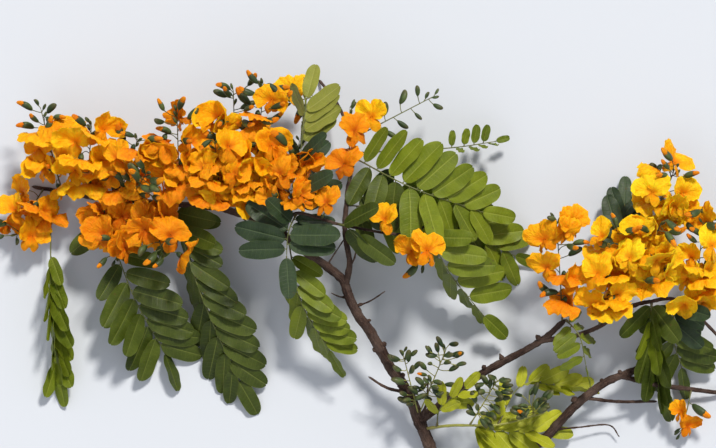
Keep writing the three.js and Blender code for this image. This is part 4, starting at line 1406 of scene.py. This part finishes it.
def leaf_material(name, dark, light, vein, underside, gloss):
    """A leaflet's green, which differs from leaflet to leaflet, with paler veins and a dull underside."""
    material, tree, shader = new_material(name)
    veins = use_group(tree, "veins", Pairs=13.0)
    mottle = use_group(tree, "mottle", Patch_Scale=70.0, Speck_Scale=1100.0)
    own = attribute_axes(tree, "tint")[1]
    tone = weighted(tree, mottle["Patches"], 0.35, times(tree, own, 0.65))
    base = blend(tree, tone, colour(*dark), colour(*light))
    base = blend(tree, times(tree, mottle["Specks"], 0.16), base, colour(*dark, share=0.6))
    lines = weighted(tree, veins["Side Veins"], 0.12, times(tree, veins["Net"], 0.05))
    base = blend(tree, lines, base, colour(*vein))
    base = blend(tree, times(tree, veins["Midrib"], 0.6), base, colour(*vein))
    base = blend(tree, times(tree, veins["Rim"], 0.3), base, colour(*vein))
    base = blend(tree, times(tree, veins["Underside"], 0.7), base, colour(*underside))
    base = blend(tree, times(tree, veins["Blemishes"], 0.5), base, colour(0.09, 0.055, 0.014))
    rough = weighted(tree, mottle["Patches"], 0.14, gloss)
    rough = weighted(tree, veins["Underside"], 0.2, rough)
    height = weighted(tree, veins["Side Veins"], -0.8, times(tree, mottle["Specks"], 0.25))
    height = weighted(tree, veins["Net"], -0.25, height)
    finish_surface(tree, shader, base, rough, height, 0.25)
    shader.inputs["Specular IOR Level"].default_value = 0.25
    let_light_through(shader, 0.15, (0.7, 1.0, 0.12), 0.0012)
    return material


def petal_material(name, deep, main, pale):
    """A petal's orange: deeper in the throat, with fine veins, and paler at the crimped rim as a painted
    highlight.
    """
    material, tree, shader = new_material(name)
    petal = use_group(tree, "petal", Veins=34.0)
    mottle = use_group(tree, "mottle", Patch_Scale=130.0, Speck_Scale=1500.0)
    own = attribute_axes(tree, "tint")[1]
    tone = weighted(tree, mottle["Patches"], 0.5, times(tree, own, 0.6))
    base = blend(tree, tone, colour(*main), colour(*pale))
    base = blend(tree, times(tree, petal["Throat"], 0.8), base, colour(*deep))
    base = blend(tree, times(tree, petal["Veins"], 0.14), base, colour(*deep))
    # Painted highlight: the crimped rim turns pale, as if lit by the sun.
    base = blend(tree, times(tree, petal["Rim"], 0.65), base, colour(*pale))
    base = blend(tree, times(tree, petal["Lower"], 0.4), base, colour(*deep))
    rough = weighted(tree, mottle["Specks"], 0.15, 0.5)
    height = weighted(tree, petal["Veins"], -0.15, times(tree, mottle["Height"], 0.3))
    height = weighted(tree, petal["Crinkles"], 2.2, height)
    finish_surface(tree, shader, base, rough, height, 0.8, 0.8)
    shader.inputs["Specular IOR Level"].default_value = 0.1
    let_light_through(shader, 0.4, (1.0, 0.4, 0.04), 0.0016)
    return material


def bud_material(name, dark, light, warm):
    """The green of cups and buds, with a painted highlight that makes it paler along one side, and reddish
    towards the mouth.
    """
    material, tree, shader = new_material(name)
    mottle = use_group(tree, "mottle", Patch_Scale=200.0, Speck_Scale=1600.0)
    _, across, along, _ = attribute_axes(tree, "spot")
    own = attribute_axes(tree, "tint")[1]
    # Painted highlight: one side of each cup and bud is paler, broken up by soft patches.
    pale_side_highlight = rise(tree, weighted(tree, mottle["Patches"], 0.8, across), 0.2, 1.5)
    base = blend(tree, weighted(tree, pale_side_highlight, 0.6, times(tree, own, 0.3)),
                 colour(*dark), colour(*light))
    base = blend(tree, times(tree, rise(tree, along, 0.45, 0.8), 0.45), base, colour(*warm))
    base = blend(tree, times(tree, mottle["Specks"], 0.2), base, colour(*dark, share=0.5))
    rough = weighted(tree, mottle["Patches"], 0.2, 0.38)
    finish_surface(tree, shader, base, rough, mottle["Height"], 0.12)
    shader.inputs["Specular IOR Level"].default_value = 0.3
    return material


def twig_material(name, dark, light, brown):
    """Green ribs and stalks, browner where they leave the wood."""
    material, tree, shader = new_material(name)
    mottle = use_group(tree, "mottle", Patch_Scale=160.0, Speck_Scale=1400.0)
    along = attribute_axes(tree, "spot")[2]
    own = attribute_axes(tree, "tint")[1]
    tone = weighted(tree, mottle["Patches"], 0.5, times(tree, own, 0.4))
    base = blend(tree, tone, colour(*dark), colour(*light))
    base = blend(tree, times(tree, rise(tree, along, 0.35, 0.0), 0.7), base, colour(*brown))
    base = blend(tree, times(tree, mottle["Specks"], 0.25), base, colour(*dark, share=0.5))
    rough = weighted(tree, mottle["Specks"], 0.2, 0.45)
    finish_surface(tree, shader, base, rough, mottle["Height"], 0.15)
    return material


def bark_material(name, dark, brown, pale, grey):
    """Brown bark with dark furrows, pale pores and greyer weathered patches."""
    material, tree, shader = new_material(name)
    bark = use_group(tree, "bark", Fineness=1.0)
    mottle = use_group(tree, "mottle", Patch_Scale=45.0, Speck_Scale=1000.0)
    base = blend(tree, bark["Furrows"], colour(*dark), colour(*brown))
    base = blend(tree, times(tree, mottle["Patches"], 0.35), base, colour(*pale))
    base = blend(tree, times(tree, bark["Weathered"], 0.4), base, colour(*grey))
    base = blend(tree, times(tree, bark["Pores"], 0.55), base, colour(*pale))
    base = blend(tree, times(tree, mottle["Specks"], 0.25), base, colour(*dark, share=0.6))
    shader.inputs["Specular IOR Level"].default_value = 0.25
    rough = weighted(tree, bark["Furrows"], -0.12, 0.88)
    height = weighted(tree, mottle["Specks"], 0.3, bark["Height"])
    finish_surface(tree, shader, base, rough, height, 0.4, 0.7)
    return material


def cut_wood_material(name):
    """A sawn end: pale wood with growth rings, a darker heart and fine saw marks."""
    material, tree, shader = new_material(name)
    mottle = use_group(tree, "mottle", Patch_Scale=300.0, Speck_Scale=1800.0)
    spot = attribute_axes(tree, "spot")[0]
    flat = stretched(tree, spot, (1.0, 1.0, 0.0))
    away = add_node(tree, "ShaderNodeVectorMath", {0: flat}, operation="LENGTH").outputs["Value"]
    bent = weighted(tree, mottle["Patches"], 0.03, away)
    rings = rise(tree, math_node(tree, "SINE", times(tree, bent, 44.0)), -0.4, 0.9)
    base = blend(tree, rings, colour(0.42, 0.3, 0.16), colour(0.6, 0.47, 0.28))
    base = blend(tree, rise(tree, away, 0.24, 0.05), base, colour(0.24, 0.15, 0.08))
    base = blend(tree, rise(tree, away, 0.88, 0.94), base, colour(0.13, 0.09, 0.05))
    base = blend(tree, times(tree, mottle["Specks"], 0.25), base, colour(0.25, 0.17, 0.09))
    rough = weighted(tree, rings, 0.1, 0.72)
    height = math_node(tree, "ADD", rings, mottle["Specks"])
    finish_surface(tree, shader, base, rough, height, 0.15)
    return material


# The branch

# The darker and lighter green, the veins, the underside and the dullness of each kind of leaflet.
# Deep and blue are also dealt out to leaflets that lie in shade, as painted shade.
LEAF_FINISHES = {
    "deep": ((0.022, 0.036, 0.003), (0.078, 0.104, 0.008), (0.16, 0.19, 0.035), (0.08, 0.11, 0.02), 0.42),
    "fresh": ((0.078, 0.110, 0.005), (0.185, 0.225, 0.009), (0.29, 0.32, 0.05), (0.17, 0.21, 0.03), 0.42),
    "young": ((0.25, 0.270, 0.010), (0.44, 0.45, 0.020), (0.52, 0.52, 0.09), (0.30, 0.32, 0.06), 0.44),
    "sage": ((0.14, 0.150, 0.018), (0.27, 0.275, 0.045), (0.36, 0.36, 0.10), (0.23, 0.25, 0.06), 0.5),
    "blue": ((0.012, 0.026, 0.010), (0.042, 0.068, 0.029), (0.10, 0.14, 0.065), (0.07, 0.10, 0.04), 0.36),
}

# The throat, the blade and the pale rim, a painted highlight, of each kind of petal.
# The kinds are painted light: lit and shaded copies of one orange, from the sunlit bright through amber and
# orange to the shaded deep.
PETAL_SUN_AND_SHADE_TONES = {
    "bright": ((0.80, 0.20, 0.002), (0.95, 0.38, 0.004), (0.98, 0.62, 0.012)),
    "amber": ((0.74, 0.165, 0.002), (0.93, 0.32, 0.003), (0.97, 0.53, 0.009)),
    "orange": ((0.66, 0.13, 0.002), (0.89, 0.26, 0.003), (0.95, 0.44, 0.007)),
    "deep": ((0.52, 0.085, 0.002), (0.76, 0.185, 0.003), (0.88, 0.31, 0.006)),
}


def grow_boughs():
    """The bark of the limbs with their dry twigs, the green skin of the young shoot, and the sawn end."""
    bark = Skins()
    shoot = Skins()
    sawn_end = Skins()
    for number, names in enumerate(BOUGHS):
        chance = np.random.default_rng(BOUGH_SEED + number)
        if names[0] == "young_shoot":
            rings, _ = bough_rings(names, SHOOT_SIDES, chance, SHOOT_RELIEF)
            shoot.add(rings, round_spots(*rings.shape[:2]), (chance.uniform(), 0, 0), names)
        else:
            rings, spots = bough_rings(names, bark_sides(LIMB_ROWS[names[0]]), chance, 1.0)
            bark.add(rings, spots, (chance.uniform(), 0, 0), names)
    for twig in TWIGS:
        add_twig(twig, bark)
    rings, spots = cut_face(limb_curves["main_stem"], LIMB_ROWS["main_stem"].radii[0])
    sawn_end.add(rings, spots, (0.5, 0, 0), "main_stem")
    return bark, shoot, sawn_end


def grow_masses():
    """Each leaf and spray: its row, the curve of its stalk, its random numbers and its solid's pieces."""
    masses = []
    for number, row in enumerate([*SPRAYS, *LEAVES], start=1):
        start = limb_curves[row.on].nearest(row.start)
        end = place(row.to)
        if isinstance(row, Leaf):
            bend = place(row.by)
            rule = leaflets_of
        else:
            bend = start + STALK_BEND * (end - start) + UP * STALK_ARCH
            rule = flowers_of
        curve = Curve([start, bend, end])
        pieces = list(rule(row, curve, seeded(number), solid_points(row.name)))
        masses.append((row, curve, np.random.default_rng(MASS_SEED + number), pieces))
    return masses


leaf_kinds = {kind: leaf_material(f"leaf_{kind}", *finish) for kind, finish in LEAF_FINISHES.items()}
# The petal materials are lit and shaded copies of one orange, which paint light.
petal_kinds = {kind: petal_material(f"petal_{kind}", *finish) for kind, finish in PETAL_SUN_AND_SHADE_TONES.items()}

limb_curves = grow_limbs()
bark, shoot, sawn_end = grow_boughs()
leaflets = defaultdict(Skins)
petals = defaultdict(Skins)
ribs = Skins()
stalks = Skins()
young_stalks = Skins()
calyxes = Skins()
bud_tips = Skins()
for row, curve, chance, placed in settle(grow_masses()):
    if isinstance(row, Leaf):
        add_leaf(row, curve, chance, placed, leaflets, ribs)
    else:
        stems = young_stalks if row.name in YOUNG_BUDS else stalks
        add_spray(row, curve, chance, placed, petals, calyxes, stems, bud_tips)

for kind, skins in leaflets.items():
    skins.make(f"leaflets_{kind}", leaf_kinds[kind], f"leaf_{kind}")
# One piece of petals for each kind, whose tones paint light from sunlit to shaded.
for kind, skins in petals.items():
    skins.make(f"petals_{kind}", petal_kinds[kind], "petal")
green = twig_material("green_twig", (0.07, 0.085, 0.018), (0.17, 0.18, 0.04), (0.09, 0.06, 0.03))
ribs.make("leaf_ribs", green, "green_twig")
stalks.make("flower_stalks", green, "green_twig")
young_green = twig_material("young_twig", (0.20, 0.205, 0.03), (0.40, 0.39, 0.08), (0.20, 0.16, 0.06))
young_stalks.make("young_bud_stalks", young_green, "green_twig")
shoot.make("young_shoot_stem", young_green, "green_twig")
calyxes.make("cups_and_buds", bud_material("bud_green", (0.018, 0.036, 0.011), (0.105, 0.145, 0.042),
                                           (0.10, 0.07, 0.02)), "bud")
bud_tips.make("bud_tips", petal_material("bud_tip", (0.56, 0.085, 0.005), (0.78, 0.20, 0.008),
                                         (0.90, 0.34, 0.012)), "petal")
bark.make("bough_bark", bark_material("bark", (0.012, 0.006, 0.005), (0.058, 0.029, 0.020),
                                      (0.22, 0.145, 0.11), (0.11, 0.075, 0.062)), "bark")
sawn_end.make("cut_wood", cut_wood_material("cut_wood"), "bark")

# Floor, light and camera

# The photograph's frame is this wide, in metres, at the height at which most of the branch lies.
FRAME_WIDE = 0.5728
FRAME_MIDDLE = (-0.0064, 0.0652)
FRAME_HEIGHT = 0.05
CAMERA_HEIGHT = 4.5
SENSOR = 36.0
FLOOR_HALF = 6.0
FLOOR_HEIGHT = -0.0002


def floor():
    """A plain pale floor just under the branch."""
    mesh = bpy.data.meshes.new("floor")
    sides = ((-1, -1), (1, -1), (1, 1), (-1, 1))
    mesh.from_pydata([(x * FLOOR_HALF, y * FLOOR_HALF, FLOOR_HEIGHT) for x, y in sides], [], [(0, 1, 2, 3)])
    material, _, shader = new_material("floor")
    shader.inputs["Base Color"].default_value = colour(0.60, 0.63, 0.69)
    shader.inputs["Roughness"].default_value = 0.95
    mesh.materials.append(material)
    piece = bpy.data.objects.new("floor", mesh)
    bpy.context.scene.collection.objects.link(piece)


def lamp(name, rise, turn, strength, spread, tone):
    """A broad far lamp: how high it stands and where from, how bright and how soft it is."""
    data = bpy.data.lights.new(name, "SUN")
    data.energy = strength
    data.angle = math.radians(spread)
    data.color = tone
    light = bpy.data.objects.new(name, data)
    light.rotation_euler = (math.radians(rise - 90), 0, math.radians(turn))
    bpy.context.scene.collection.objects.link(light)


def camera():
    """Straight above the branch, with the photograph's framing."""
    data = bpy.data.cameras.new("camera")
    data.sensor_width = SENSOR
    data.lens = SENSOR * (CAMERA_HEIGHT - FRAME_HEIGHT) / FRAME_WIDE
    data.clip_start = 0.05
    data.clip_end = 40
    view = bpy.data.objects.new("camera", data)
    view.location = (*FRAME_MIDDLE, CAMERA_HEIGHT)
    bpy.context.scene.collection.objects.link(view)
    bpy.context.scene.camera = view


floor()
lamp("key", rise=50, turn=-22, strength=3.3, spread=9, tone=(1.0, 0.96, 0.88))
lamp("fill", rise=60, turn=150, strength=0.4, spread=40, tone=(0.95, 0.96, 1.0))
camera()

world = bpy.data.worlds.new("soft_room")
world.use_nodes = True
world.node_tree.nodes["Background"].inputs["Color"].default_value = colour(0.92, 0.95, 1.0)
world.node_tree.nodes["Background"].inputs["Strength"].default_value = 0.5
bpy.context.scene.world = world
bpy.context.scene.view_settings.view_transform = "Standard"
bpy.context.scene.view_settings.look = "None"
